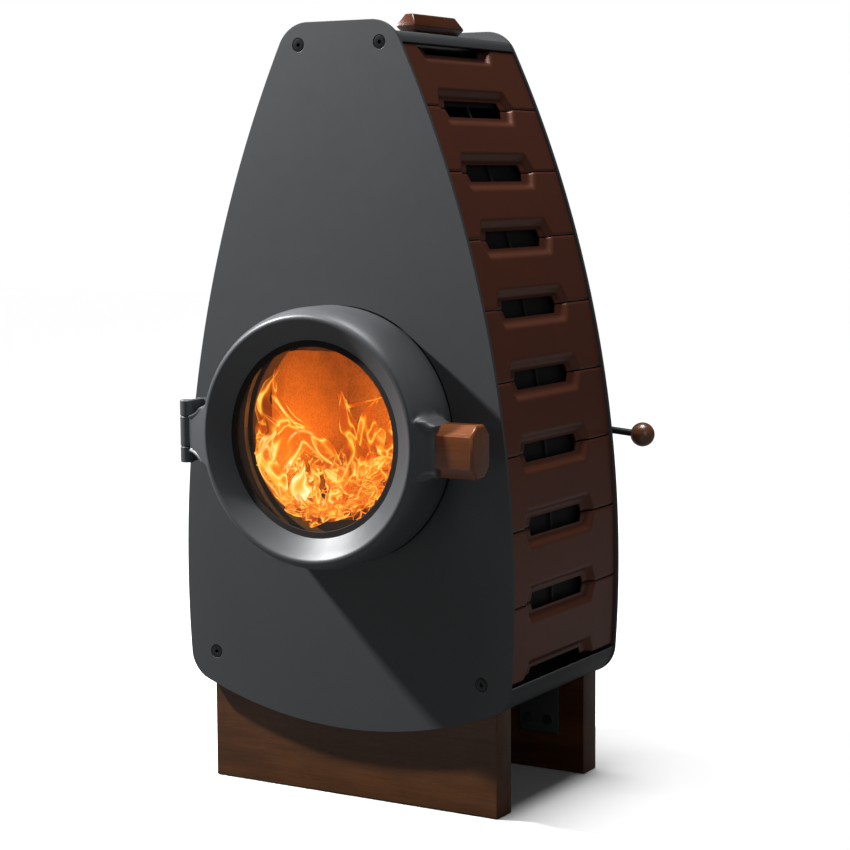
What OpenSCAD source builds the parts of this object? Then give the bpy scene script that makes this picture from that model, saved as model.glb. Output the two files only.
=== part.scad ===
// Wood burning stove: two upright plates tied together, pressed side panels between them,
// a steel firebox with a round cast door, a rear air lever and a plinth of two wooden boards.
// X is the width, -Y the door side and Z the height above the floor.
// The origin is on the floor, under the middle of the casing, in the floor air inlet.

/* [Casing] */
// Height of the front and rear plates above the floor
casing_h = 1200; // [1150:5:1240]
// Depth over the front and rear plates
casing_depth = 362; // [355:1:380]
// Greatest half width of the plates
half_w = 297.5; // [292:0.5:305]
// Height at which the plates are widest
widest_z = 340; // [320:5:360]
// Radius of the long side curve
side_r = 1900; // [1860:10:1960]
// Radius of the upper corners
top_r = 55; // [40:1:65]
// Radius of the lower corners
base_r = 50; // [40:1:60]
// Radius of the curved lower edge
belly_r = 700; // [650:10:800]
// Height of the lowest point of that edge
belly_z = 112; // [105:1:120]
// Thickness of the front and rear plates
plate_t = 6; // [5:0.5:8]
// Step back of the panels and the base from the plates' edge
inset = 4; // [3:0.5:6]

/* [Top] */
// Depth of the top tray below the plates' edge
cap_drop = 19; // [12:1:24]
// Half width of the wooden rest at its widest
rest_half_w = 18; // [14:1:22]
// Height of the wooden rest
rest_h = 34; // [28:1:38]
// Length of the wooden rest at its widest
rest_len = 152; // [130:2:170]
// Distance of the wooden rest from the middle, towards the air lever
rest_x = 55; // [45:1:60]

/* [Side panels] */
// Number of panels on each side
panel_count = 9; // [9:1:9]
// Thickness of the pressed sheet
panel_t = 2.5; // [1.5:0.5:3]
// Gap between one panel and the next
panel_gap = 1.2; // [0.8:0.1:2]
// Half height of an air slot
slot_half_h = 13; // [8:1:16]
// Length of an air slot
slot_len = 176; // [140:2:190]
// Distance of the slots' middle in front of the casing's middle
slot_forward = 14; // [0:1:20]

/* [Door] */
// Height of the door's middle above the floor
door_z = 574; // [560:1:590]
// Greatest radius of the cast ring
ring_r = 199.5; // [196:0.5:202]
// How far the ring stands out of the front plate
ring_reach = 104; // [96:1:110]
// Radius of the ring's opening in front of the glass
sight_r = 150; // [145:1:154]
// Thickness of the ceramic glass
glass_t = 4; // [4:0.5:5]
// Distance of the hinge pin to the left of the middle
hinge_x = 264.5; // [262:0.5:267]
// Radius of the hinge barrel
barrel_r = 11; // [10:0.5:12]
// Radius of the hinge pin
pin_r = 4; // [3:0.5:5]

/* [Firebox] */
// Half width of the steel firebox
box_half_w = 188; // [180:1:190]
// Height of the firebox's floor sheet
box_low = 300; // [290:2:310]
// Height of the firebox's roof
box_high = 860; // [852:2:864]
// Thickness of the firebox's sheet
box_t = 5; // [4:0.5:6]
// Thickness of the lining bricks
brick_t = 30; // [25:1:32]
// Radius of the firebox's mouth
mouth_r = 170; // [165:1:172]

/* [Air and flue] */
// Outer radius of the flue collar
flue_r = 75; // [65:1:75]
// Height of the flue collar's axis
flue_z = 770; // [765:1:775]
// Outer radius of the floor air inlet
inlet_r = 50; // [40:1:52]
// Height of the air lever's pivot
lever_z = 580; // [575:1:585]
// Length of the lever from the pivot to the knob's middle
lever_len = 333; // [325:1:345]
// Radius of the knob
knob_r = 19.5; // [16:0.5:21]

/* [Plinth] */
// Half width of each wooden board
board_half_w = 260; // [250:1:265]
// Thickness of each wooden board
board_t = 45; // [38:1:48]
// Step back of the front board from the front plate
board_back = 19; // [15:1:24]

/* [Hidden] */

fine = 96;
small = 32;
front_y = -casing_depth / 2;
rear_y = casing_depth / 2;
inner_y = rear_y - plate_t;

// Casing outline: side arc, two corner arcs and the curved lower edge, right half
side_cx = half_w - side_r;
top_cz = casing_h - top_r;
top_cx = side_cx + sqrt(pow(side_r - top_r, 2) - pow(top_cz - widest_z, 2));
belly_cz = belly_z + belly_r;
base_gap = norm([side_cx, belly_cz - widest_z]);
base_near = side_r - base_r;
base_far = belly_r - base_r;
base_along = (pow(base_near, 2) - pow(base_far, 2) + pow(base_gap, 2)) / (2 * base_gap);
base_off = sqrt(pow(base_near, 2) - pow(base_along, 2));
base_dir = [-side_cx, belly_cz - widest_z] / base_gap;
base_cx = side_cx + base_along * base_dir[0] + base_off * base_dir[1];
base_cz = widest_z + base_along * base_dir[1] - base_off * base_dir[0];
belly_end = atan2(base_cz - belly_cz, base_cx);
side_start = atan2(base_cz - widest_z, base_cx - side_cx);
side_end = atan2(top_cz - widest_z, top_cx - side_cx);

// Points on an arc about c, from angle a to angle b in n steps
function arc(c, r, a, b, n) = [for (i = [0:n]) c + r * [cos(a + (b - a) * i / n), sin(a + (b - a) * i / n)]];
function flip(points) = [for (i = [len(points) - 1:-1:0]) [-points[i][0], points[i][1]]];
function half_outline(d) = concat(
    arc([0, belly_cz], belly_r - d, -90, belly_end, 10),
    arc([base_cx, base_cz], base_r - d, belly_end, side_start, 10),
    arc([side_cx, widest_z], side_r - d, side_start, side_end, 24),
    arc([top_cx, top_cz], top_r - d, side_end, 90, 10));
function outline(d) = concat(half_outline(d), flip(half_outline(d)));
function side_x(z, d) = side_cx + sqrt(pow(side_r - d, 2) - pow(z - widest_z, 2));

// Side panels: the courses grow a little from the top down
panel_top = 25.8;
first_course = 3.12;
course_growth = 0.045;
function seam(k) = panel_top - k * (first_course + (k - 1) / 2 * course_growth);
panel_low_z = widest_z + (side_r - inset) * sin(seam(panel_count));

// Stands an (x, z) drawing upright, from y = y0 to y = y1
module upright(y0, y1) {
    translate([0, y1, 0]) rotate([90, 0, 0]) linear_extrude(y1 - y0) children();
}

// A round bar along Y
module bar_y(r, x, z, y0, y1, n = small) {
    translate([x, y1, z]) rotate([90, 0, 0]) cylinder(r = r, h = y1 - y0, $fn = n);
}

// Casing plates, screws and tie rods
screw_x = [72.5, 243.5];
screw_z = [casing_h - 34, 209];
screw_head_r = 10;
screw_shank_r = 4.9;
screw_head_h = 5;
screw_len = 26;
rod_r = 8;

module at_casing_screws() {
    for (i = [0, 1], side = [-1, 1]) translate([side * screw_x[i], 0, screw_z[i]]) children();
}

module countersinks(y, dir) {
    at_casing_screws() translate([0, y, 0]) rotate([-90 * dir, 0, 0]) {
        cylinder(r1 = screw_head_r + 1, r2 = screw_shank_r + 0.6, h = screw_head_h + 0.4, $fn = small);
        translate([0, 0, -1]) cylinder(r = screw_shank_r + 0.6, h = plate_t + 2, $fn = small);
    }
}

plate_hole_r = ring_r - 2;
lever_hole_r = 12;

module front_plate() {
    color([0.25, 0.26, 0.28]) difference() {
        upright(front_y, front_y + plate_t) polygon(outline(0));
        bar_y(plate_hole_r, 0, door_z, front_y - 1, front_y + plate_t + 1, fine);
        countersinks(front_y, 1);
        for (z = bracket_stud_z) bar_y(bracket_stud_r + 0.05, bracket_stud_x, z, front_y - 1, front_y + plate_t + 1);
    }
}

module rear_plate() {
    color([0.22, 0.23, 0.25]) difference() {
        upright(inner_y, rear_y) polygon(outline(0));
        bar_y(flue_r + 3, 0, flue_z, inner_y - 1, rear_y + 1, fine);
        bar_y(lever_hole_r, 0, lever_z, inner_y - 1, rear_y + 1);
        countersinks(rear_y, -1);
    }
}

module casing_screw() {
    difference() {
        union() {
            cylinder(r1 = screw_head_r, r2 = screw_shank_r, h = screw_head_h, $fn = small);
            cylinder(r = screw_shank_r, h = screw_len, $fn = small);
        }
        translate([0, 0, -1]) cylinder(r = 3.4, h = 4.5, $fn = 6);
    }
}

module casing_screws() {
    color([0.12, 0.12, 0.13]) for (dir = [-1, 1])
        at_casing_screws() translate([0, dir * (rear_y - 0.3), 0]) rotate([90 * dir, 0, 0]) casing_screw();
}

module tie_rods() {
    color("silver") at_casing_screws() difference() {
        bar_y(rod_r, 0, 0, -inner_y, inner_y);
        for (dir = [-1, 1]) translate([0, dir * (inner_y - 11), 0]) rotate([90, 0, 0])
            cylinder(r = screw_shank_r + 0.05, h = 24, center = true, $fn = small);
    }
}

// Top tray and its wooden rest
cap_z = casing_h - cap_drop;
cap_r = 16;
cap_t = 2.5;
cap_cx = side_cx + sqrt(pow(side_r - inset - cap_r, 2) - pow(cap_z - cap_r - widest_z, 2));
cap_turn = atan2(cap_z - cap_r - widest_z, cap_cx - side_cx);

function cap_half(d) = concat(
    [[side_cx, widest_z] + (side_r - inset - d) * [cos(panel_top), sin(panel_top)]],
    arc([cap_cx, cap_z - cap_r], cap_r - d, cap_turn, 90, 8));

module top_cap() {
    outer = concat(cap_half(0), flip(cap_half(0)));
    inner = concat(cap_half(cap_t), flip(cap_half(cap_t)));
    color([0.15, 0.16, 0.17]) difference() {
        upright(-inner_y, inner_y) polygon(concat(outer, [for (i = [len(inner) - 1:-1:0]) inner[i]]));
        at_rest_screws() cylinder(r = 3.3, h = 20, center = true, $fn = small);
    }
}

rest_slope = 11;
rest_mid = 15;
rest_screw_y = 45;

module at_rest_screws() {
    for (y = [-rest_screw_y, rest_screw_y]) translate([rest_x, y, cap_z - cap_t]) children();
}

module rest_blank() {
    slab = 0.2;
    for (part = [[0, rest_mid], [rest_mid, rest_h]]) hull() for (z = part)
        translate([0, 0, min(z, rest_h - slab)]) {
            cut = z == rest_mid ? 0 : rest_slope;
            translate([-rest_half_w + cut, -rest_len / 2 + cut, 0])
                cube([2 * (rest_half_w - cut), rest_len - 2 * cut, slab]);
        }
}

module top_rest() {
    color([0.42, 0.22, 0.11]) difference() {
        translate([rest_x, 0, cap_z]) rest_blank();
        at_rest_screws() cylinder(r = 3.05, h = 22, $fn = small);
    }
}

module rest_screws() {
    color("silver") at_rest_screws() {
        translate([0, 0, -4]) cylinder(r = 6, h = 4, $fn = small);
        translate([0, 0, -4]) cylinder(r = 3, h = 24, $fn = small);
    }
}

// Side panels: one pressed sheet for each course, with half an air slot at each edge
module panel_sheet(k) {
    skew = panel_gap / 2 / side_r * 180 / PI;
    high = seam(k - 1) - (k == 1 ? 0 : skew);
    low = seam(k) + (k == panel_count ? 0 : skew);
    outer = arc([side_cx, widest_z], side_r - inset, low, high, 4);
    inner = arc([side_cx, widest_z], side_r - inset - panel_t, high, low, 4);
    difference() {
        upright(-inner_y, inner_y) polygon(concat(outer, inner));
        for (edge = [k - 1, k]) slot_cut(seam(edge));
    }
}

// A six-sided slot across a seam, pointed at both ends
module slot_cut(angle) {
    tip = 6;
    across = slot_half_h;
    long = slot_len / 2;
    translate([side_cx, -slot_forward, widest_z]) rotate([0, -angle, 0])
        translate([side_r - inset - panel_t - 2, 0, 0]) rotate([90, 0, 90]) linear_extrude(panel_t + 6)
            polygon([[-long, 0], [tip - long, -across], [long - tip, -across],
                [long, 0], [long - tip, across], [tip - long, across]]);
}

module side_panel(k, side) {
    color([0.30, 0.18, 0.13]) scale([side, 1, 1]) panel_sheet(k);
}

// Welded frames that the panels hang on: a curved rib behind each plate, joined by struts
rib_depth = 18;
rib_t = 5;

module panel_frame() {
    strut_d = inset + panel_t + rib_depth - 3;
    hang_r = side_r - inset - panel_t - 0.3;
    low = seam(panel_count) + 0.6;
    high = panel_top - 1.6;
    outer = arc([side_cx, widest_z], hang_r, low, high, 20);
    inner = arc([side_cx, widest_z], hang_r - rib_depth, high, low, 20);
    for (y = [-inner_y, inner_y - rib_t]) upright(y, y + rib_t) polygon(concat(outer, inner));
    for (a = [low + 1.4, (low + high) / 2 + 0.7, high - 1]) translate([side_cx, 0, widest_z]) rotate([0, -a, 0])
        translate([side_r - strut_d - 3, -inner_y + 1, -8]) cube([3, 2 * inner_y - 2, 16]);
    upright(-14, -8) polygon(concat(arc([side_cx, widest_z], side_r - strut_d, low + 1, high - 0.6, 20),
        arc([side_cx, widest_z], side_r - strut_d - 3, high - 0.6, low + 1, 20)));
}

module panel_frames() {
    color([0.55, 0.55, 0.56]) for (side = [-1, 1]) scale([side, 1, 1]) panel_frame();
}

// Inner jackets: thin sheets that keep the firebox's heat off the panels and guide the warm air
module air_jackets() {
    d = inset + panel_t + rib_depth + 2;
    low = seam(panel_count) + 1;
    high = panel_top - 4;
    color([0.3, 0.3, 0.31]) for (side = [-1, 1]) scale([side, 1, 1]) upright(-inner_y + 1, inner_y - 1)
        polygon(concat(arc([side_cx, widest_z], side_r - d, low, high, 8),
            arc([side_cx, widest_z], side_r - d - 1.5, high, low, 8)));
}

// Base tray: the rolled skin under the casing, its deck and the four tabs that hold the boards
tray_t = 3;
weld_gap = 0.05;
inlet_gap = 3;
deck_z = 212;
deck_t = 4;
deck_half_w = 228;
web_x = 205;
web_t = 4;
tab_x = 180;
tab_half_w = 35;
tab_low = 62;
tab_t = 4;
board_y = [front_y + board_back, inner_y - board_t];
tab_y = [board_y[0] + board_t, board_y[1] - tab_t];

module tray_skin() {
    difference() {
        polygon(outline(inset));
        polygon(outline(inset + tray_t));
        translate([-500, panel_low_z - 0.8]) square([1000, 1500]);
    }
}

module base_tray() {
    web_low = belly_z + inset + tray_t;
    color([0.17, 0.19, 0.2]) difference() {
        union() {
            upright(-inner_y, inner_y) tray_skin();
            translate([-deck_half_w, -inner_y, deck_z - deck_t]) cube([2 * deck_half_w, 2 * inner_y, deck_t]);
            for (x = [-web_x, web_x]) upright(-inner_y, inner_y) intersection() {
                translate([x - web_t / 2, web_low]) square([web_t, deck_z - deck_t - weld_gap - web_low]);
                polygon(outline(inset + tray_t + weld_gap));
            }
            for (y = tab_y, x = [-tab_x, tab_x]) upright(y, y + tab_t) difference() {
                translate([x - tab_half_w, tab_low]) square([2 * tab_half_w, 120]);
                polygon(outline(inset - weld_gap));
            }
        }
        translate([0, 0, 60]) cylinder(r = inlet_r + inlet_gap, h = 200, $fn = fine);
        at_board_screws() cylinder(r = 4.2, h = 30, center = true, $fn = small);
    }
}

module board(y0) {
    color([0.36, 0.19, 0.09]) difference() {
        upright(y0, y0 + board_t) difference() {
            translate([-board_half_w, 0]) square([2 * board_half_w, 230]);
            polygon(outline(inset));
            translate([-500, base_cz - base_r + inset + 6]) square([1000, 300]);
        }
        at_board_screws() translate([0, 0, 4]) cylinder(r = 4, h = 30, $fn = small);
    }
}

module front_board() { board(board_y[0]); }
module rear_board() { board(board_y[1]); }

// Each screw's place, with +Z pointing from the tab into its board
module at_board_screws() {
    for (x = [-tab_x, tab_x], dx = [-18, 18], i = [0, 1])
        translate([x + dx, i == 0 ? tab_y[0] + tab_t : tab_y[1], tab_low + 22])
            rotate([i == 0 ? 90 : -90, 0, 0]) children();
}

module board_screws() {
    color("silver") at_board_screws() {
        translate([0, 0, -3.5]) cylinder(r = 7.5, h = 3.5, $fn = small);
        translate([0, 0, -3.5]) cylinder(r = 3.95, h = 35, $fn = small);
    }
}

// Air: the floor inlet, the duct up the firebox's back and the valve turned by the rear lever
box_y = [-150, 112];
duct_low = 240;
duct_high = 286;
duct_half_w = 70;
riser_y = [box_y[1], 168];
chamber_half_w = 78;
chamber_z = [lever_z - 82, lever_z + 82];
port_r = 11;
port_pcd_r = 38;

module at_ports() {
    for (a = [0:60:300]) translate([port_pcd_r * cos(a), 0, port_pcd_r * sin(a)]) children();
}

module air_inlet() {
    color("silver") difference() {
        cylinder(r = inlet_r, h = duct_low - weld_gap, $fn = fine);
        translate([0, 0, -1]) cylinder(r = inlet_r - 2, h = duct_low + 2, $fn = fine);
    }
}

module hollow_box(low, high, t) {
    difference() {
        translate(low) cube(high - low);
        translate(low + [t, t, t]) cube(high - low - 2 * [t, t, t]);
    }
}

module air_duct() {
    t = 2;
    way = [2 * (duct_half_w - t), riser_y[1] - riser_y[0] - 2 * t];
    color([0.5, 0.5, 0.52]) difference() {
        union() {
            hollow_box([-duct_half_w, -60, duct_low], [duct_half_w, riser_y[1], duct_high], t);
            hollow_box([-duct_half_w, riser_y[0], duct_high + weld_gap],
                [duct_half_w, riser_y[1], chamber_z[0] - weld_gap], t);
            hollow_box([-chamber_half_w, riser_y[0], chamber_z[0]], [chamber_half_w, riser_y[1], chamber_z[1]], t);
        }
        for (z = [duct_high, chamber_z[0]]) translate([-way[0] / 2, riser_y[0] + t, z - t - 1])
            cube([way[0], way[1], 2 * t + 2]);
        translate([0, 0, duct_low - 1]) cylinder(r = inlet_r - 2, h = t + 2, $fn = fine);
        translate([0, 0, lever_z]) at_ports() bar_y(port_r, 0, 0, riser_y[0] - 1, riser_y[0] + t + 1);
        bar_y(lever_hole_r, 0, lever_z, riser_y[1] - t - 1, riser_y[1] + 1);
    }
}

shaft_r = 6;
hub_r = 20;
valve_t = 3;
lever_y = rear_y + 13;
lever_drop = 4.65;
lever_rod_r = 5.6;

module shaft_bush() {
    color("goldenrod") difference() {
        union() {
            bar_y(lever_hole_r - 0.02, 0, lever_z, inner_y, rear_y);
            bar_y(17, 0, lever_z, rear_y, rear_y + 3);
        }
        bar_y(shaft_r + 0.06, 0, lever_z, inner_y - 1, rear_y + 4);
    }
}

module air_lever() {
    color([0.2, 0.2, 0.21]) difference() {
        union() {
            bar_y(hub_r, 0, lever_z, lever_y - 8, lever_y + 8);
            translate([0, lever_y, lever_z]) rotate([0, 90 + lever_drop, 0])
                translate([0, 0, hub_r - 4]) cylinder(r = lever_rod_r, h = lever_len - hub_r - 8, $fn = small);
        }
        bar_y(shaft_r + 0.02, 0, lever_z, lever_y - 9, lever_y + 5);
    }
}

module air_knob() {
    color([0.45, 0.24, 0.13]) translate([0, lever_y, lever_z]) rotate([0, 90 + lever_drop, 0]) difference() {
        translate([0, 0, lever_len]) sphere(r = knob_r, $fn = 64);
        cylinder(r = lever_rod_r + 0.02, h = lever_len - 12 + 0.02, $fn = small);
    }
}

module air_valve() {
    valve_y = riser_y[0] + 2.4;
    color("silver") difference() {
        union() {
            bar_y(58, 0, lever_z, valve_y, valve_y + valve_t, fine);
            bar_y(14, 0, lever_z, valve_y, valve_y + 14);
            bar_y(shaft_r, 0, lever_z, valve_y, lever_y + 5);
        }
        translate([0, 0, lever_z]) at_ports() bar_y(port_r, 0, 0, valve_y - 1, valve_y + valve_t + 1);
    }
}

// Firebox: a welded box on four feet, its bricks, grate, ash pan and baffle
brick_low = 376;
hearth_z = brick_low + brick_t;
brick_high = 690;
grate_half = [105, 82];
grate_y = -18;

ledge_w = 12;
ledge_t = 5;
foot_w = 40;
foot_x = 150;

module firebox_sheets() {
    w = box_half_w;
    depth = box_y[1] - box_y[0];
    side_z = [box_low + box_t + weld_gap, box_high - box_t - weld_gap];
    side_h = side_z[1] - side_z[0];
    end_half_w = w - box_t - weld_gap;
    for (z = [box_low, box_high - box_t]) translate([-w, box_y[0], z]) cube([2 * w, depth, box_t]);
    for (x = [-w, w - box_t]) translate([x, box_y[0], side_z[0]]) cube([box_t, depth, side_h]);
    difference() {
        for (y = [box_y[0], box_y[1] - box_t]) translate([-end_half_w, y, side_z[0]])
            cube([2 * end_half_w, box_t, side_h]);
        bar_y(mouth_r + 6, 0, door_z, box_y[0] - 1, box_y[0] + box_t + 1, fine);
        bar_y(flue_r - 3, 0, flue_z, box_y[1] - box_t - 1, box_y[1] + 1, fine);
        translate([0, 0, lever_z]) at_ports() bar_y(port_r, 0, 0, box_y[1] - box_t - 1, box_y[1] + 1);
    }
}

module firebox_body() {
    inside_y = [box_y[0] + box_t + weld_gap, box_y[1] - box_t - weld_gap];
    color([0.2, 0.2, 0.21]) {
        firebox_sheets();
        for (side = [-1, 1]) {
            translate([side * (box_half_w - box_t - weld_gap - ledge_w / 2) - ledge_w / 2, inside_y[0], brick_low - ledge_t])
                cube([ledge_w, inside_y[1] - inside_y[0], ledge_t]);
            for (y = [box_y[0] + 10, box_y[1] - 10 - foot_w]) translate([side * foot_x - foot_w / 2, y, deck_z])
                cube([foot_w, foot_w, box_low - weld_gap - deck_z]);
        }
    }
}

module flue_collar() {
    color([0.2, 0.2, 0.21]) difference() {
        union() {
            bar_y(flue_r + 18, 0, flue_z, box_y[1], box_y[1] + 4, fine);
            bar_y(flue_r, 0, flue_z, box_y[1], rear_y + 60, fine);
        }
        bar_y(flue_r - 3, 0, flue_z, box_y[1] - 1, rear_y + 61, fine);
    }
}

module side_bricks() {
    inner = box_half_w - box_t;
    color([0.75, 0.65, 0.5]) for (side = [-1, 1])
        translate([side * (inner - brick_t / 2) - brick_t / 2, box_y[0] + box_t, hearth_z])
            cube([brick_t, box_y[1] - box_y[0] - 2 * box_t - brick_t, brick_high - hearth_z]);
}

module back_brick() {
    inner = box_half_w - box_t;
    color([0.75, 0.65, 0.5]) difference() {
        translate([-inner, box_y[1] - box_t - brick_t, hearth_z]) cube([2 * inner, brick_t, brick_high - hearth_z]);
        translate([0, 0, lever_z]) at_ports()
            bar_y(port_r, 0, 0, box_y[1] - box_t - brick_t - 1, box_y[1] - box_t + 1);
    }
}

module floor_brick() {
    inner = box_half_w - box_t;
    color([0.72, 0.62, 0.48]) difference() {
        translate([-inner, box_y[0] + box_t, brick_low]) cube([2 * inner, box_y[1] - box_y[0] - 2 * box_t, brick_t]);
        translate([-grate_half[0] + 8, grate_y - grate_half[1] + 8, brick_low - 1])
            cube([2 * grate_half[0] - 16, 2 * grate_half[1] - 16, brick_t + 2]);
        translate([-grate_half[0] - 0.5, grate_y - grate_half[1] - 0.5, hearth_z - 12])
            cube([2 * grate_half[0] + 1, 2 * grate_half[1] + 1, 14]);
    }
}

module grate() {
    color([0.16, 0.16, 0.16]) difference() {
        translate([-grate_half[0], grate_y - grate_half[1], hearth_z - 12]) cube([2 * grate_half[0], 2 * grate_half[1], 12]);
        for (x = [-80:20:80]) translate([x - 4.5, grate_y - grate_half[1] + 16, hearth_z - 13])
            cube([9, 2 * grate_half[1] - 32, 14]);
    }
}

module ash_pan() {
    low = [-92, grate_y - 70, box_low + box_t];
    high = [92, grate_y + 70, box_low + box_t + 52];
    color([0.35, 0.35, 0.36]) difference() {
        translate(low) cube(high - low);
        translate(low + [1.5, 1.5, 1.5]) cube(high - low - [3, 3, 0]);
    }
}

module baffle_board() {
    color([0.75, 0.65, 0.5]) translate([-box_half_w + box_t + 1, -68, brick_high])
        cube([2 * (box_half_w - box_t - 1), box_y[1] - box_t + 68, 25]);
}

module log_guard() {
    color([0.2, 0.2, 0.21]) translate([0, box_y[0] + 26, hearth_z]) {
        translate([-120, 0, 0]) cube([240, 5, 26]);
        for (side = [-1, 1]) translate([side * 112 - 8, 0, 0]) cube([16, 30, 5]);
    }
}

// Door frame: a cast collar bolted to the firebox's mouth, with the catch's guide cast on its inside
catch_x = 154;
catch_y = -162;
catch_z = 556;
plunger_r = 4.5;
catch_lift = 5;

module door_frame() {
    color([0.17, 0.17, 0.18]) difference() {
        union() {
            bar_y(mouth_r + 42, 0, door_z, -inner_y, box_y[0], fine);
            bar_y(mouth_r + 6, 0, door_z, box_y[0], box_y[0] + box_t, fine);
        }
        difference() {
            bar_y(mouth_r, 0, door_z, -inner_y - 1, box_y[0] + box_t + 5, fine);
            translate([catch_x - 9, catch_y - 9, catch_z + 10]) cube([60, 18, 30]);
        }
        translate([catch_x, catch_y, catch_z]) {
            cylinder(r = plunger_r + 0.06, h = 30, $fn = small);
            translate([0, 0, 14]) cylinder(r = plunger_r + 1.2, h = 19, $fn = small);
        }
    }
}

// Catch: a sprung plunger over the door's tongue
module catch_plunger() {
    color("silver") translate([catch_x, catch_y, catch_z]) {
        sphere(r = plunger_r, $fn = small);
        cylinder(r = plunger_r, h = 17, $fn = small);
        translate([0, 0, 14.4]) cylinder(r = plunger_r + 1, h = 2.6, $fn = small);
    }
}

module catch_spring() {
    low = catch_z + 17.1;
    high = catch_z + 32.9;
    turns = 5;
    sides = 8;
    steps = 60;
    coil_r = 3.4;
    wire_r = 0.5;
    rise = high - low - 2 * wire_r;
    rings = [for (i = [0:steps], s = [0:sides - 1])
        let (a = 360 * turns * i / steps, w = 360 * s / sides, r = coil_r + wire_r * cos(w))
        [r * cos(a), r * sin(a), low + wire_r + rise * i / steps + wire_r * sin(w)]];
    walls = [for (i = [0:steps - 1], s = [0:sides - 1])
        let (t = (s + 1) % sides) [i * sides + s, i * sides + t, (i + 1) * sides + t, (i + 1) * sides + s]];
    ends = [[for (s = [sides - 1:-1:0]) s], [for (s = [0:sides - 1]) steps * sides + s]];
    color("silver") translate([catch_x, catch_y, 0]) polyhedron(rings, [for (f = concat(walls, ends))
        [for (i = [len(f) - 1:-1:0]) f[i]]]);
}

// Hinge: two fixed knuckles, each on a foot studded to the front plate, and the pin through them
pin_y = front_y - 40;
lug_half_h = 23.7;
hinge_z = door_z - 5;
knuckle_gap = 0.6;
knuckle_h = 25;
bracket_start = lug_half_h + knuckle_gap;
bracket_stud_x = -hinge_x + 18;
bracket_stud_r = 3;
bracket_stud_z = [for (dir = [-1, 1]) hinge_z + dir * (bracket_start + knuckle_h / 2)];

module hinge_bracket() {
    color([0.22, 0.23, 0.25]) difference() {
        for (z = bracket_stud_z) {
            low = z - knuckle_h / 2;
            translate([-hinge_x, pin_y, low]) cylinder(r = barrel_r, h = knuckle_h, $fn = 48);
            translate([-hinge_x - 5, pin_y, low]) cube([10, front_y - pin_y, knuckle_h]);
            translate([-hinge_x - 9, front_y - 3, low]) cube([36, 3, knuckle_h]);
            bar_y(bracket_stud_r, bracket_stud_x, z, front_y - 3, front_y + plate_t);
        }
        translate([-hinge_x, pin_y, 0]) cylinder(r = pin_r + 0.01, h = 900, $fn = small);
    }
}

module hinge_pin() {
    reach = bracket_start + knuckle_h;
    color("silver") translate([-hinge_x, pin_y, hinge_z - reach]) cylinder(r = pin_r, h = 2 * reach, $fn = small);
}

// Door: the cast ring, turned about the door's axis; radius first, then reach out of the plate
seat_reach = 80;
seat_r = 161;
bore_r = 176;
retainer_reach = seat_reach - 10;
seal_r = [180, 190];
lip_r = [179, 184];
wall_r = ring_r - 9;
root_x = wall_r + 1.5;

function shoulder(n) = [for (i = [1:n]) let (a = 90 - 90 * i / n)
    [lip_r[1] + (ring_r - lip_r[1]) * cos(a), 60 + (ring_reach - 60) * sin(a)]];

module ring_body() {
    points = concat(
        [[bore_r, -2], [bore_r, 8], [wall_r, 14], [wall_r, 60], [bore_r, 66],
            [bore_r, retainer_reach], [seat_r, retainer_reach], [seat_r, seat_reach],
            [sight_r, seat_reach], [lip_r[0], ring_reach - 2], [lip_r[0] + 2, ring_reach],
            [lip_r[1], ring_reach]],
        shoulder(8),
        [[ring_r, 22], [ring_r - 4, 0], [ring_r - 5, -2],
            [seal_r[1], -2], [seal_r[1], 5], [seal_r[0], 5], [seal_r[0], -2]]);
    translate([0, front_y, door_z]) rotate([90, 0, 0]) rotate_extrude($fn = fine) polygon(points);
}

neck_half_h = 34;
bolt_reach = 50;
bolt_from = wall_r - 5;
grip_x = [216, 279];
grip_reach = [34, 88];
grip_half_h = 40;
grip_ease = 3;
grip_bevel = 16;

module door_ring() {
    color([0.27, 0.28, 0.3]) difference() {
        union() {
            ring_body();
            translate([-hinge_x, pin_y, hinge_z - lug_half_h]) cylinder(r = barrel_r, h = 2 * lug_half_h, $fn = 48);
            translate([-hinge_x, pin_y - 8, hinge_z - lug_half_h]) cube([hinge_x - root_x, 16, 2 * lug_half_h]);
            translate([root_x, front_y - grip_reach[1] + 6, hinge_z - neck_half_h])
                cube([grip_x[0] - root_x, grip_reach[1] - grip_reach[0] - 12, 2 * neck_half_h]);
        }
        translate([-hinge_x, pin_y, 0]) cylinder(r = pin_r + 0.06, h = 900, $fn = small);
        translate([0, front_y - bolt_reach, hinge_z]) rotate([0, 90, 0])
            translate([0, 0, 170]) cylinder(r = 4.2, h = 80, $fn = small);
        at_retainer_screws() cylinder(r = 2, h = 12, center = true, $fn = small);
    }
}

module at_retainer_screws() {
    for (a = [22.5:45:360]) translate([168.5 * cos(a), front_y - retainer_reach, door_z + 168.5 * sin(a)])
        rotate([90, 0, 0]) children();
}

module disc_ring(r_in, r_out, low, high) {
    translate([0, front_y, door_z]) rotate([90, 0, 0]) translate([0, 0, low]) difference() {
        cylinder(r = r_out, h = high - low, $fn = fine);
        if (r_in > 0) translate([0, 0, -1]) cylinder(r = r_in, h = high - low + 2, $fn = fine);
    }
}

glass_front = seat_reach - 2;

module door_glass() {
    color([0.1, 0.08, 0.07, 0.5]) disc_ring(0, seat_r - 1, glass_front - glass_t, glass_front);
}

module glass_seal() {
    color([0.06, 0.06, 0.06]) {
        disc_ring(sight_r - 10, seat_r - 1, glass_front, seat_reach);
        disc_ring(sight_r, seat_r - 1, retainer_reach, glass_front - glass_t);
    }
}

module glass_retainer() {
    color([0.5, 0.5, 0.52]) difference() {
        disc_ring(sight_r - 2, bore_r - 1, retainer_reach - 3, retainer_reach);
        at_retainer_screws() cylinder(r = 2.6, h = 12, center = true, $fn = small);
    }
}

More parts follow.
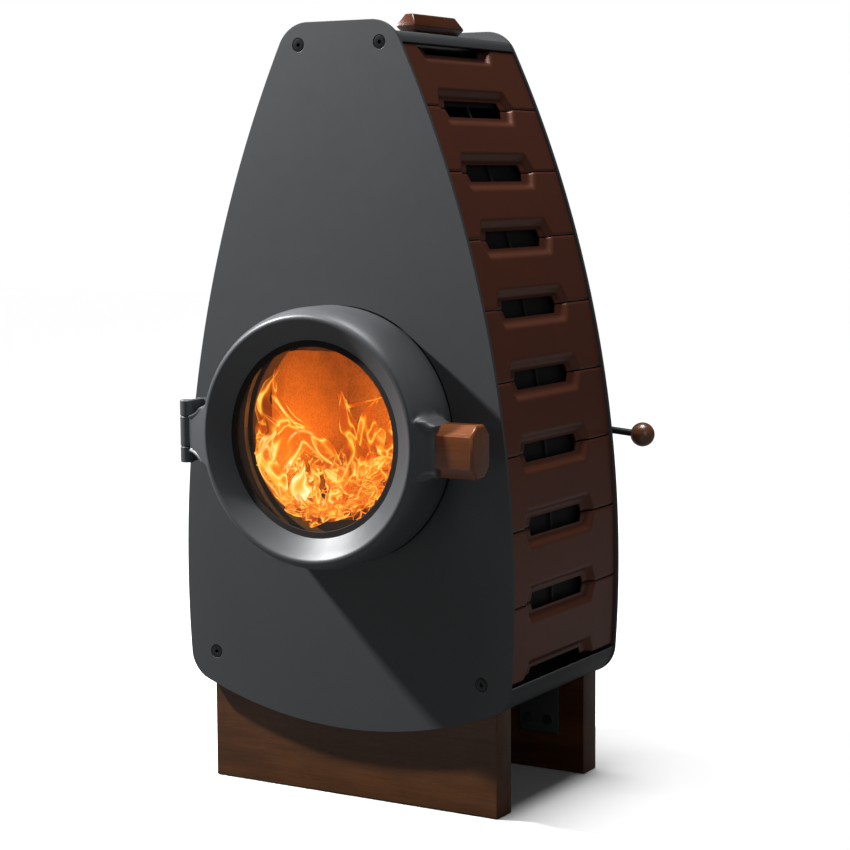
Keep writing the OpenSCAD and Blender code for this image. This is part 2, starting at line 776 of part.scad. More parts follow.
module retainer_screws() {
    color("silver") at_retainer_screws() {
        translate([0, 0, -6]) cylinder(r = 4.5, h = 3, $fn = small);
        translate([0, 0, -6]) cylinder(r = 1.95, h = 11.5, $fn = small);
    }
}

module door_seal() {
    color([0.3, 0.3, 0.3]) translate([0, front_y, door_z]) rotate([90, 0, 0]) rotate_extrude($fn = fine)
        translate([(seal_r[0] + seal_r[1]) / 2, -0.8]) circle(r = 4.9, $fn = small);
}

// Wooden grip: a block with bevelled edges, held by a bolt through the ring's neck
module bevelled(x, y, z, ease, bevel) {
    intersection() {
        translate([0, 0, z[0]]) linear_extrude(z[1] - z[0]) bevel_square(x, y, ease);
        translate([0, y[1], 0]) rotate([90, 0, 0]) linear_extrude(y[1] - y[0]) bevel_square(x, z, ease);
        rotate([90, 0, 90]) translate([0, 0, x[0]]) linear_extrude(x[1] - x[0]) bevel_square(y, z, bevel);
    }
}

module bevel_square(u, v, b) {
    polygon([[u[0] + b, v[0]], [u[1] - b, v[0]], [u[1], v[0] + b], [u[1], v[1] - b],
        [u[1] - b, v[1]], [u[0] + b, v[1]], [u[0], v[1] - b], [u[0], v[0] + b]]);
}

module door_grip() {
    color([0.45, 0.25, 0.14]) difference() {
        bevelled(grip_x, [front_y - grip_reach[1], front_y - grip_reach[0]],
            [hinge_z - grip_half_h, hinge_z + grip_half_h], grip_ease, grip_bevel);
        translate([0, front_y - bolt_reach, hinge_z]) rotate([0, 90, 0])
            translate([0, 0, 200]) cylinder(r = 4, h = 50, $fn = small);
    }
}

module grip_bolt() {
    color("silver") translate([bolt_from, front_y - bolt_reach, hinge_z]) rotate([0, 90, 0]) {
        cylinder(r = 6.5, h = 4.5, $fn = 6);
        cylinder(r = 3.98, h = 250 - bolt_from - 2, $fn = small);
    }
}

module catch_tongue() {
    top = catch_z - plunger_r - 0.4;
    tongue_t = 5;
    foot_end = sqrt(pow(bore_r, 2) - pow(door_z - top + tongue_t, 2)) - 0.1;
    color("silver") {
        translate([catch_x - 8, front_y - 8, top - tongue_t]) cube([16, 38, tongue_t]);
        translate([catch_x, front_y - 8, top - tongue_t]) cube([foot_end - catch_x, 10, tongue_t]);
    }
}

front_plate();
rear_plate();
casing_screws();
tie_rods();
top_cap();
top_rest();
rest_screws();
for (k = [1:panel_count]) {
    side_panel(k, -1);
    side_panel(k, 1);
}
panel_frames();
air_jackets();
base_tray();
front_board();
rear_board();
board_screws();
air_inlet();
air_duct();
firebox_body();
flue_collar();
side_bricks();
back_brick();
floor_brick();
grate();
ash_pan();
baffle_board();
log_guard();
door_frame();
hinge_bracket();
hinge_pin();
door_ring();
door_glass();
glass_seal();
glass_retainer();
retainer_screws();
door_seal();
door_grip();
grip_bolt();
catch_tongue();
catch_plunger();
catch_spring();
shaft_bush();
air_lever();
air_knob();
air_valve();
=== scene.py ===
import math
import bmesh
import bpy
import numpy as np
from mathutils import Matrix, Vector


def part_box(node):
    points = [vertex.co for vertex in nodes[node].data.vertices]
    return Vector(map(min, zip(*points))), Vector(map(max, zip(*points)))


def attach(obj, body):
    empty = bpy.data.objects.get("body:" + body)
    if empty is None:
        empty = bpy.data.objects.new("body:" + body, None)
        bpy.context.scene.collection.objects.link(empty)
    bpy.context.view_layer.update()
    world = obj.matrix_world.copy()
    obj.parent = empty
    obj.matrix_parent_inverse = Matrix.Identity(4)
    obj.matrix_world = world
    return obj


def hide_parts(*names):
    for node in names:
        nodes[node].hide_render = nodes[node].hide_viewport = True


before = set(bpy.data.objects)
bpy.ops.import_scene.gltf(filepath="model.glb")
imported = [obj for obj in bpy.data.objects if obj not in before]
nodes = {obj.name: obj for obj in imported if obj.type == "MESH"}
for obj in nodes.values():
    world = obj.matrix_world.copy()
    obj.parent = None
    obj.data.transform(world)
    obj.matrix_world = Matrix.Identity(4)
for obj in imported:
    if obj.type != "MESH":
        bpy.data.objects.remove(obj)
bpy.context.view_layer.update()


# ---------------------------------------------------------------------------
# Front and rear plates: 6 mm steel, laser cut to a tall rounded tent shape.
# They are sprayed with matte graphite stove paint and screwed to tie rods.
# ---------------------------------------------------------------------------
plate_low, plate_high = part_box("front_plate")
back_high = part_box("rear_plate")[1]
front_y, rear_y = plate_low.y, back_high.y
plate_t = plate_high.y - plate_low.y
casing_top = plate_high.z
half_w = plate_high.x - 0.00005
widest_z = 0.340
side_r = 1.900
corner_r = 0.055
base_r = 0.050
belly_r = 0.700
belly_z = plate_low.z


def arc(cx, cz, r, a, b, n):
    return [(cx + r * math.cos(a + (b - a) * i / n), cz + r * math.sin(a + (b - a) * i / n)) for i in range(n + 1)]


side_cx = half_w - side_r
corner_cz = casing_top - corner_r
corner_cx = side_cx + math.sqrt((side_r - corner_r) ** 2 - (corner_cz - widest_z) ** 2)
belly_cz = belly_z + belly_r
base_gap = math.hypot(side_cx, belly_cz - widest_z)
base_along = ((side_r - base_r) ** 2 - (belly_r - base_r) ** 2 + base_gap ** 2) / (2 * base_gap)
base_off = math.sqrt((side_r - base_r) ** 2 - base_along ** 2)
base_dir = (-side_cx / base_gap, (belly_cz - widest_z) / base_gap)
base_cx = side_cx + base_along * base_dir[0] + base_off * base_dir[1]
base_cz = widest_z + base_along * base_dir[1] - base_off * base_dir[0]
belly_end = math.atan2(base_cz - belly_cz, base_cx)
side_start = math.atan2(base_cz - widest_z, base_cx - side_cx)
side_end = math.atan2(corner_cz - widest_z, corner_cx - side_cx)


def outline(step):
    """The plates' outline, moved inwards by step."""
    half = (arc(0, belly_cz, belly_r - step, -math.pi / 2, belly_end, 24)[:-1]
            + arc(base_cx, base_cz, base_r - step, belly_end, side_start, 16)[:-1]
            + arc(side_cx, widest_z, side_r - step, side_start, side_end, 64)[:-1]
            + arc(corner_cx, corner_cz, corner_r - step, side_end, math.pi / 2, 16))
    return half + [(-x, z) for x, z in reversed(half[1:])]


def add_object(name, mesh):
    piece = bpy.data.objects.new(name, mesh)
    bpy.context.scene.collection.objects.link(piece)
    return piece


def soften(mesh, degrees=35):
    mesh.shade_smooth()
    mesh.set_sharp_from_angle(angle=math.radians(degrees))


def outward(mesh, merge=0.0, dissolve=0.0):
    """Merges doubled points and turns every face outwards."""
    work = bmesh.new()
    work.from_mesh(mesh)
    if merge:
        bmesh.ops.remove_doubles(work, verts=work.verts, dist=merge)
    if dissolve:
        bmesh.ops.dissolve_degenerate(work, edges=work.edges, dist=dissolve)
    bmesh.ops.recalc_face_normals(work, faces=work.faces)
    work.to_mesh(mesh)
    work.free()


def solid_piece(name, solid, degrees):
    """Turns finished bmesh work into a piece, with soft edges up to so many degrees."""
    bmesh.ops.recalc_face_normals(solid, faces=solid.faces)
    mesh = bpy.data.meshes.new(name)
    solid.to_mesh(mesh)
    solid.free()
    soften(mesh, degrees)
    return add_object(name, mesh)


def baked(piece):
    """Turns a piece with modifiers, or a curve, into a plain mesh."""
    bpy.context.view_layer.update()
    depsgraph = bpy.context.evaluated_depsgraph_get()
    mesh = bpy.data.meshes.new_from_object(piece.evaluated_get(depsgraph))
    name = piece.name
    bpy.data.objects.remove(piece)
    return add_object(name, mesh)


def cut_sheet(name, loops, y0, y1, edge=0.0006, level=False):
    """A sheet standing in the X-Z plane, or lying level, with eased edges.

    The first loop is its outline and the others are holes.
    """
    flat = bpy.data.curves.new(name, "CURVE")
    flat.dimensions = "2D"
    flat.fill_mode = "BOTH"
    flat.extrude = (y1 - y0) / 2 - edge
    flat.bevel_depth = edge
    flat.bevel_resolution = 2
    flat.offset = -edge
    for loop in loops:
        spline = flat.splines.new("POLY")
        spline.points.add(len(loop) - 1)
        spline.points.foreach_set("co", [c for x, z in loop for c in (x, z, 0, 1)])
        spline.use_cyclic_u = True
    sheet = baked(add_object(name, flat))
    if level:
        sheet.data.transform(Matrix.Translation((0, 0, (y0 + y1) / 2)))
    else:
        sheet.data.transform(Matrix.Translation((0, (y0 + y1) / 2, 0)) @ Matrix.Rotation(math.pi / 2, 4, "X"))
    outward(sheet.data, 1e-6, 1e-6)
    soften(sheet.data)
    for face in sheet.data.polygons:
        if abs(face.normal[2 if level else 1]) > 0.9999:
            face.use_smooth = False
    return sheet


def circle(cx, cz, r, n=96):
    return arc(cx, cz, r, 0, 2 * math.pi, n)[:-1]


def islands(node):
    """The box of each separate solid in a CAD node."""
    solid = bmesh.new()
    solid.from_mesh(nodes[node].data)
    bmesh.ops.remove_doubles(solid, verts=solid.verts, dist=1e-5)
    left, found = set(solid.verts), []
    while left:
        stack, seen = [left.pop()], []
        while stack:
            point = stack.pop()
            seen.append(point.co.copy())
            for edge in point.link_edges:
                other = edge.other_vert(point)
                if other in left:
                    left.remove(other)
                    stack.append(other)
        found.append((Vector([min(p[i] for p in seen) for i in range(3)]),
                      Vector([max(p[i] for p in seen) for i in range(3)])))
    solid.free()
    return found


def middle(box):
    return (box[0] + box[1]) / 2


def finish_piece(piece, material, body, slot, *replaced):
    piece.data.materials.clear()
    piece.data.materials.append(material)
    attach(piece, body)
    if replaced:
        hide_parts(*replaced)
    return piece


def dress(node, material):
    """Gives a CAD node its finish."""
    slots = nodes[node].material_slots
    if not slots:
        nodes[node].data.materials.append(material)
    for s in slots:
        s.material = material


def new_group(name, inputs, outputs):
    group = bpy.data.node_groups.new(name, "ShaderNodeTree")
    for label, kind, value in inputs:
        socket = group.interface.new_socket(name=label, in_out="INPUT", socket_type=kind)
        if value is not None:
            socket.default_value = value
    for label, kind in outputs:
        group.interface.new_socket(name=label, in_out="OUTPUT", socket_type=kind)
    return group, group.nodes.new("NodeGroupInput"), group.nodes.new("NodeGroupOutput")


def put(tree, kind, sockets=None, **settings):
    """Adds a node, sets its options, and joins or fills its inputs."""
    node = tree.nodes.new(kind)
    for key, value in settings.items():
        setattr(node, key, value)
    for key, value in (sockets or {}).items():
        if hasattr(value, "links"):
            tree.links.new(value, node.inputs[key])
        else:
            node.inputs[key].default_value = value
    return node


def maths(tree, operation, *values, clamp=False):
    return put(tree, "ShaderNodeMath", dict(enumerate(values)), operation=operation, use_clamp=clamp).outputs[0]


def ranged(tree, value, from_low, from_high, low, high, smooth=False):
    node = put(tree, "ShaderNodeMapRange", {"Value": value, "From Min": from_low, "From Max": from_high,
                                           "To Min": low, "To Max": high})
    node.interpolation_type = "SMOOTHSTEP" if smooth else "LINEAR"
    return node.outputs["Result"]


def blended(tree, factor, a, b, mode="MIX"):
    node = tree.nodes.new("ShaderNodeMix")
    node.data_type = "RGBA"
    node.blend_type = mode
    for index, value in ((0, factor), (6, a), (7, b)):
        if hasattr(value, "links"):
            tree.links.new(value, node.inputs[index])
        else:
            node.inputs[index].default_value = value
    return node.outputs[2]


def noise(tree, vector, scale, detail=3.0, roughness=0.5, distortion=0.0):
    node = put(tree, "ShaderNodeTexNoise", {"Vector": vector, "Scale": scale, "Detail": detail,
                                           "Roughness": roughness, "Distortion": distortion})
    return node.outputs["Fac"]


# Sprayed or cast grain: broad clouds of tone over a fine pebbled coat, with a little dust on what faces up.
grain, g_in, g_out = new_group(
    "sprayed_grain",
    [("Color", "NodeSocketColor", (0.1, 0.1, 0.1, 1)), ("Cloud", "NodeSocketFloat", 0.12),
     ("Cloud Scale", "NodeSocketFloat", 6.0), ("Grain Scale", "NodeSocketFloat", 900.0),
     ("Grain Tone", "NodeSocketFloat", 0.1), ("Gloss", "NodeSocketFloat", 0.5),
     ("Gloss Spread", "NodeSocketFloat", 0.08),
     ("Dust", "NodeSocketFloat", 0.05)],
    [("Color", "NodeSocketColor"), ("Roughness", "NodeSocketFloat"), ("Height", "NodeSocketFloat")])
place = grain.nodes.new("ShaderNodeTexCoord").outputs["Object"]
cloud = noise(grain, place, g_in.outputs["Cloud Scale"], 4.0, 0.55)
pebble = noise(grain, place, g_in.outputs["Grain Scale"], 2.0, 0.6)
cloud_gain = maths(grain, "MULTIPLY", maths(grain, "SUBTRACT", cloud, 0.5),
                   maths(grain, "MULTIPLY", g_in.outputs["Cloud"], 2.0))
pebble_gain = maths(grain, "MULTIPLY", maths(grain, "SUBTRACT", pebble, 0.5),
                    maths(grain, "MULTIPLY", g_in.outputs["Grain Tone"], 2.0))
gain = maths(grain, "ADD", maths(grain, "ADD", cloud_gain, pebble_gain), 1.0)
lit = put(grain, "ShaderNodeVectorMath", {0: g_in.outputs["Color"], "Scale": gain}, operation="SCALE").outputs[0]
upward = put(grain, "ShaderNodeSeparateXYZ",
             {0: grain.nodes.new("ShaderNodeNewGeometry").outputs["Normal"]}).outputs["Z"]
settled = maths(grain, "MULTIPLY", ranged(grain, upward, 0.55, 1.0, 0.0, 1.0, True),
                maths(grain, "MULTIPLY", cloud, g_in.outputs["Dust"]))
grain.links.new(blended(grain, settled, lit, (0.42, 0.40, 0.37, 1)), g_out.inputs["Color"])
spread = maths(grain, "MULTIPLY", maths(grain, "SUBTRACT", noise(grain, place, 38.0, 5.0, 0.6), 0.5),
               maths(grain, "MULTIPLY", g_in.outputs["Gloss Spread"], 2.0))
grain.links.new(maths(grain, "ADD", g_in.outputs["Gloss"], spread, clamp=True), g_out.inputs["Roughness"])
grain.links.new(pebble, g_out.inputs["Height"])


def new_material(name):
    material = bpy.data.materials.new(name)
    material.use_nodes = True
    tree = material.node_tree
    return material, tree, tree.nodes["Principled BSDF"]


def grained(name, color, gloss, metal=0.0, bump=0.12, bump_depth=0.0004, coat=0.0, coat_gloss=0.2, **inputs):
    """A paint, casting or sheet metal made with the sprayed grain."""
    material, tree, shader = new_material(name)
    shell = tree.nodes.new("ShaderNodeGroup")
    shell.node_tree = grain
    shell.inputs["Color"].default_value = (*color, 1)
    shell.inputs["Gloss"].default_value = gloss
    for key, value in inputs.items():
        shell.inputs[key.replace("_", " ").title()].default_value = value
    tree.links.new(shell.outputs["Color"], shader.inputs["Base Color"])
    tree.links.new(shell.outputs["Roughness"], shader.inputs["Roughness"])
    relief = put(tree, "ShaderNodeBump", {"Height": shell.outputs["Height"], "Strength": bump,
                                          "Distance": bump_depth})
    tree.links.new(relief.outputs["Normal"], shader.inputs["Normal"])
    shader.inputs["Metallic"].default_value = metal
    shader.inputs["Coat Weight"].default_value = coat
    shader.inputs["Coat Roughness"].default_value = coat_gloss
    return material


graphite = grained("graphite_paint", (0.062, 0.066, 0.071), 0.50, metal=0.0, cloud=0.10, cloud_scale=5.0,
                   grain_scale=1500.0, grain_tone=0.16, gloss_spread=0.05, dust=0.03)

screw_boxes = islands("casing_screws")
front_screws = [middle(b) for b in screw_boxes if middle(b).y < 0]
rear_screws = [middle(b) for b in screw_boxes if middle(b).y > 0]
door_mid = middle(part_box("door_glass"))
flue_mid = middle(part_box("flue_collar"))
lever_mid = middle(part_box("shaft_bush"))
hole_r = 0.0107

plate_front = cut_sheet("plate_front", [outline(0), circle(door_mid.x, door_mid.z, 0.1975, 160)]
                        + [circle(p.x, p.z, hole_r, 40) for p in front_screws], front_y, front_y + plate_t)
finish_piece(plate_front, graphite, "casing", "plate_paint", "front_plate")
plate_rear = cut_sheet("plate_rear", [outline(0), circle(flue_mid.x, flue_mid.z, 0.078, 96),
                                      circle(lever_mid.x, lever_mid.z, 0.0122, 48)]
                       + [circle(p.x, p.z, hole_r, 40) for p in rear_screws], rear_y - plate_t, rear_y)
finish_piece(plate_rear, graphite, "casing", "plate_paint", "rear_plate")


# ---------------------------------------------------------------------------
# Screws: countersunk M10 socket screws in black oxide, sunk flush in the
# plates. One turned head is repeated at every place the plates are drilled.
# ---------------------------------------------------------------------------
def lathe(name, profile, steps=96, axis="Y", centre=(0, 0, 0), closed=False):
    """Turns a profile of (radius, height) pairs about an axis; heights run along the axis."""
    verts, faces = [], []
    rows = len(profile)
    for i in range(steps):
        a = 2 * math.pi * i / steps
        for r, h in profile:
            flat = (r * math.cos(a), r * math.sin(a), h)
            verts.append({"Z": flat, "Y": (flat[0], h, -flat[1]), "X": (h, flat[0], flat[1])}[axis])
    spans = rows if closed else rows - 1
    for i in range(steps):
        j = (i + 1) % steps
        for k in range(spans):
            m = (k + 1) % rows
            faces.append((i * rows + k, j * rows + k, j * rows + m, i * rows + m))
    mesh = bpy.data.meshes.new(name)
    mesh.from_pydata([tuple(Vector(v) + Vector(centre)) for v in verts], [], faces)
    outward(mesh, 1e-6, 1e-7)
    soften(mesh, 40)
    return add_object(name, mesh)


def repeat_tree():
    """Repeats one fastener at every point given, each turned by its own chance amount."""
    tree = bpy.data.node_groups.new("repeat_fastener", "GeometryNodeTree")
    for label, kind in (("Points", "NodeSocketGeometry"), ("Fastener", "NodeSocketObject"),
                        ("Axis Turn", "NodeSocketVector"),
                        ("Chance Turn", "NodeSocketFloat"), ("Seed", "NodeSocketInt"),
                        ("Finish", "NodeSocketMaterial")):
        tree.interface.new_socket(name=label, in_out="INPUT", socket_type=kind)
    tree.interface.new_socket(name="Fasteners", in_out="OUTPUT", socket_type="NodeSocketGeometry")
    start, end = tree.nodes.new("NodeGroupInput"), tree.nodes.new("NodeGroupOutput")
    one = put(tree, "GeometryNodeObjectInfo", {"Object": start.outputs["Fastener"]})
    chance = put(tree, "FunctionNodeRandomValue", {"Seed": start.outputs["Seed"]}, data_type="FLOAT")
    tree.links.new(start.outputs["Chance Turn"], chance.inputs[3])
    spin = put(tree, "ShaderNodeCombineXYZ", {"Z": chance.outputs[1]})
    spun = put(tree, "FunctionNodeRotateEuler",
               {"Rotation": start.outputs["Axis Turn"], "Rotate By": spin.outputs[0]}, space="LOCAL")
    many = put(tree, "GeometryNodeInstanceOnPoints",
               {"Points": start.outputs["Points"], "Instance": one.outputs["Geometry"],
                                                     "Rotation": spun.outputs[0]})
    real = put(tree, "GeometryNodeRealizeInstances", {"Geometry": many.outputs["Instances"]})
    done = put(tree, "GeometryNodeSetMaterial",
               {"Geometry": real.outputs["Geometry"], "Material": start.outputs["Finish"]})
    tree.links.new(done.outputs["Geometry"], end.inputs["Fasteners"])
    return tree


fastener_tree = repeat_tree()


def set_input(modifier, label, value):
    for item in modifier.node_group.interface.items_tree:
        if item.item_type == "SOCKET" and item.in_out == "INPUT" and item.name == label:
            modifier[item.identifier] = value


def fasteners(name, places, head, turn, chance, seed, finish):
    mesh = bpy.data.meshes.new(name)
    mesh.from_pydata([tuple(p) for p in places], [], [])
    piece = add_object(name, mesh)
    modifier = piece.modifiers.new("repeat", "NODES")
    modifier.node_group = fastener_tree
    for label, value in (("Fastener", head), ("Axis Turn", turn), ("Chance Turn", chance), ("Seed", seed),
                         ("Finish", finish)):
        set_input(modifier, label, value)
    return baked(piece)


def socket_screw(name, head_r, shank_r, head_h, length, key_r, key_h, flat=0.0006):
    """A countersunk screw along -Z with its flat face at Z = 0 and a six-sided key hole."""
    screw = bmesh.new()
    steps = 48

    def ring(r, z, n=steps):
        return [screw.verts.new((r * math.cos(2 * math.pi * i / n), r * math.sin(2 * math.pi * i / n),
                                 z)) for i in range(n)]

    def hexagon(z, r):
        points = []
        for i in range(steps):
            a = 2 * math.pi * i / steps
            side = r * math.cos(math.pi / 6) / math.cos((a % (math.pi / 3)) - math.pi / 6)
            points.append(screw.verts.new((side * math.cos(a), side * math.sin(a), z)))
        return points

    rows = [hexagon(-key_h, key_r), hexagon(-0.0003, key_r), hexagon(0, key_r + 0.0003), ring(head_r - 0.0012, 0.0),
            ring(head_r - 0.0003, -0.0002), ring(head_r, -flat), ring(shank_r, -head_h),
            ring(shank_r, -length + 0.001),
            ring(shank_r - 0.001, -length)]
    for a, b in zip(rows, rows[1:]):
        for i in range(steps):
            screw.faces.new((a[i], a[(i + 1) % steps], b[(i + 1) % steps], b[i]))
    screw.faces.new(rows[0])
    screw.faces.new(rows[-1])
    return solid_piece(name, screw, 30)


black_oxide = grained("black_oxide", (0.045, 0.046, 0.049), 0.33, metal=0.75, cloud=0.2, cloud_scale=40.0,
                      grain_scale=2600.0, grain_tone=0.1, dust=0.0)
bare_steel = grained("bare_steel", (0.40, 0.40, 0.41), 0.36, metal=1.0, cloud=0.15, cloud_scale=14.0,
                     grain_scale=700.0, grain_tone=0.12, gloss_spread=0.14, dust=0.0)
one_screw = socket_screw("one_screw", 0.0100, 0.0049, 0.0055, 0.0255, 0.0034, 0.0035)
screws_front = fasteners("screws_front", [(p.x, front_y + 0.0003, p.z) for p in front_screws], one_screw,
                         (math.pi / 2, 0, 0), 1.0, 4, black_oxide)
screws_rear = fasteners("screws_rear", [(p.x, rear_y - 0.0003, p.z) for p in rear_screws], one_screw,
                        (-math.pi / 2, 0, 0), 1.0, 9, black_oxide)
bpy.data.objects.remove(one_screw)
finish_piece(screws_front, black_oxide, "casing", "screw_black", "casing_screws")
finish_piece(screws_rear, black_oxide, "casing", "screw_black")
dress("tie_rods", bare_steel)


# ---------------------------------------------------------------------------
# Top tray: 2.5 mm sheet rolled over at both sides, sunk 19 mm below the
# plates' edge and welded between them. It is painted like the plates.
# ---------------------------------------------------------------------------
cap_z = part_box("top_cap")[1].z
inner_y = rear_y - plate_t
inset = 0.004
cap_r = 0.016
cap_cx = side_cx + math.sqrt((side_r - inset - cap_r) ** 2 - (cap_z - cap_r - widest_z) ** 2)
cap_turn = math.atan2(cap_z - cap_r - widest_z, cap_cx - side_cx)
cap_low = math.radians(25.8)


def swept(name, line, y0, y1, rows=2):
    """Sweeps an open X-Z line from y0 to y1."""
    verts = [(x, y0 + (y1 - y0) * j / (rows - 1), z) for j in range(rows) for x, z in line]
    n = len(line)
    faces = [(j * n + i, (j + 1) * n + i, (j + 1) * n + i + 1,
              j * n + i + 1) for j in range(rows - 1) for i in range(n - 1)]
    mesh = bpy.data.meshes.new(name)
    mesh.from_pydata(verts, [], faces)
    soften(mesh)
    return add_object(name, mesh)


def thick(piece, depth, offset=-1, edge=0.0, segments=2):
    """Gives a sheet its thickness, eases its edges and keeps the result."""
    wall = piece.modifiers.new("wall", "SOLIDIFY")
    wall.thickness = depth
    wall.offset = offset
    wall.use_even_offset = True
    if edge:
        ease = piece.modifiers.new("ease", "BEVEL")
        ease.width = edge
        ease.segments = segments
        ease.limit_method = "ANGLE"
        ease.angle_limit = math.radians(50)
    solid = baked(piece)
    outward(solid.data)
    soften(solid.data)
    return solid


cap_line = ([(side_cx + (side_r - inset) * math.cos(cap_low), widest_z + (side_r - inset) * math.sin(cap_low))]
            + arc(cap_cx, cap_z - cap_r, cap_r, cap_turn, math.pi / 2, 12))
cap_line = cap_line + [(-x, z) for x, z in reversed(cap_line)]
tray_top = thick(swept("tray_top", cap_line, -inner_y, inner_y), 0.0025, 1, 0.0004)
finish_piece(tray_top, graphite, "casing", "skin_paint", "top_cap")
dress("rest_screws", bare_steel)


# ---------------------------------------------------------------------------
# Oiled hardwood: reddish brown, close grained. The top rest, the plinth
# boards, the grip and the lever's ball are all finished with the same oil.
# ---------------------------------------------------------------------------
timber, t_in, t_out = new_group(
    "oiled_grain",
    [("Vector", "NodeSocketVector", None), ("Dark", "NodeSocketColor", (0.06, 0.02, 0.008, 1)),
     ("Light", "NodeSocketColor", (0.22, 0.09, 0.04, 1)), ("Pores", "NodeSocketFloat", 0.5),
     ("Gloss", "NodeSocketFloat", 0.4), ("Seed", "NodeSocketFloat", 0.0)],
    [("Color", "NodeSocketColor"), ("Roughness", "NodeSocketFloat"), ("Height", "NodeSocketFloat")])
shift = put(timber, "ShaderNodeCombineXYZ", {0: t_in.outputs["Seed"], 1: t_in.outputs["Seed"],
                                             2: t_in.outputs["Seed"]})
moved = put(timber, "ShaderNodeVectorMath", {0: t_in.outputs["Vector"], 1: shift.outputs[0]},
            operation="ADD").outputs[0]
# The vector runs along the grain in X, so growth bands stretch that way.
bands = noise(timber, put(timber, "ShaderNodeMapping", {"Vector": moved, "Scale": (1.6, 22.0, 22.0)}).outputs[0], 1.0,
              5.0, 0.62, 0.5)
fibre = noise(timber, put(timber, "ShaderNodeMapping", {"Vector": moved, "Scale": (18.0, 520.0, 520.0)}).outputs[0],
              1.0, 3.0, 0.6)
blot = noise(timber, moved, 9.0, 4.0, 0.6)
pore = ranged(timber, noise(timber, put(timber, "ShaderNodeMapping",
                                        {"Vector": moved, "Scale": (60.0, 1400.0, 1400.0)}).outputs[0], 1.0, 1.0,
                            0.5),
              0.62, 0.72, 0.0, 1.0)
tone = maths(timber, "ADD", maths(timber, "MULTIPLY", bands, 0.55),
             maths(timber, "ADD", maths(timber, "MULTIPLY", fibre, 0.25), maths(timber, "MULTIPLY", blot, 0.30)))
base = blended(timber, ranged(timber, tone, 0.36, 0.74, 0.0, 1.0), t_in.outputs["Dark"], t_in.outputs["Light"])
deep = maths(timber, "MULTIPLY", pore, t_in.outputs["Pores"])
timber.links.new(blended(timber, deep, base, (0.020, 0.008, 0.004, 1)), t_out.inputs["Color"])
timber.links.new(maths(timber, "ADD", t_in.outputs["Gloss"],
                       maths(timber, "ADD", maths(timber, "MULTIPLY", maths(timber, "SUBTRACT", fibre, 0.5), 0.22),
                       maths(timber, "MULTIPLY", deep, 0.25)), clamp=True), t_out.inputs["Roughness"])
timber.links.new(maths(timber, "SUBTRACT", fibre, deep), t_out.inputs["Height"])


def oiled(name, dark, light, gloss, turn=(0, 0, 0), seed=0.0, coat=0.25, pores=0.5, bump=0.25):
    material, tree, shader = new_material(name)
    along = put(tree, "ShaderNodeMapping", {"Vector": tree.nodes.new("ShaderNodeTexCoord").outputs["Object"],
                                            "Rotation": turn})
    shell = tree.nodes.new("ShaderNodeGroup")
    shell.node_tree = timber
    tree.links.new(along.outputs[0], shell.inputs["Vector"])
    for key, value in (("Dark", (*dark, 1)), ("Light", (*light, 1)), ("Gloss", gloss), ("Seed", seed),
                       ("Pores", pores)):
        shell.inputs[key].default_value = value
    tree.links.new(shell.outputs["Color"], shader.inputs["Base Color"])
    tree.links.new(shell.outputs["Roughness"], shader.inputs["Roughness"])
    relief = put(tree, "ShaderNodeBump", {"Height": shell.outputs["Height"], "Strength": bump, "Distance": 0.0004})
    tree.links.new(relief.outputs["Normal"], shader.inputs["Normal"])
    shader.inputs["Coat Weight"].default_value = coat
    shader.inputs["Coat Roughness"].default_value = 0.22
    return material


wood_x = oiled("oiled_wood_across", (0.036, 0.011, 0.002), (0.165, 0.056, 0.012), 0.40, seed=0.0, coat=0.2)
wood_y = oiled("oiled_wood_rest", (0.050, 0.012, 0.004), (0.150, 0.042, 0.012), 0.24, (0, 0, math.pi / 2), 3.1,
               coat=0.6)
wood_grip = oiled("oiled_wood_grip", (0.120, 0.032, 0.009), (0.270, 0.084, 0.025), 0.22, (0, 0, 0), 7.7, coat=0.5,
                  pores=0.35)


# ---------------------------------------------------------------------------
# Top rest: one solid wooden bar shaped like a cut ingot, for a pan or a
# hand. It is screwed up from under the tray.
# ---------------------------------------------------------------------------
def ingot(name, boxes, levels, waist, cut, edge):
    """Bars with sloping sides: narrow at the bottom and top, widest at the waist."""
    solid = bmesh.new()
    for low, high in boxes:
        rings = []
        for z, back in ((low.z, cut), (low.z + waist, 0.0), (high.z, cut)):
            rings.append([solid.verts.new(c) for c in ((low.x + back, low.y + back, z),
                                                       (high.x - back, low.y + back, z),
                                                      (high.x - back, high.y - back, z),
                                                       (low.x + back, high.y - back, z))])
        for a, b in zip(rings, rings[1:]):
            for i in range(4):
                solid.faces.new((a[i], a[(i + 1) % 4], b[(i + 1) % 4], b[i]))
        solid.faces.new(reversed(rings[0]))
        solid.faces.new(rings[-1])
    bmesh.ops.bevel(solid, geom=solid.edges[:], offset=edge, segments=levels, profile=0.5, affect="EDGES")
    return solid_piece(name, solid, 60)


rest = ingot("wood_rest", islands("top_rest"), 4, 0.015, 0.011, 0.0022)
finish_piece(rest, wood_y, "casing", "wood", "top_rest")


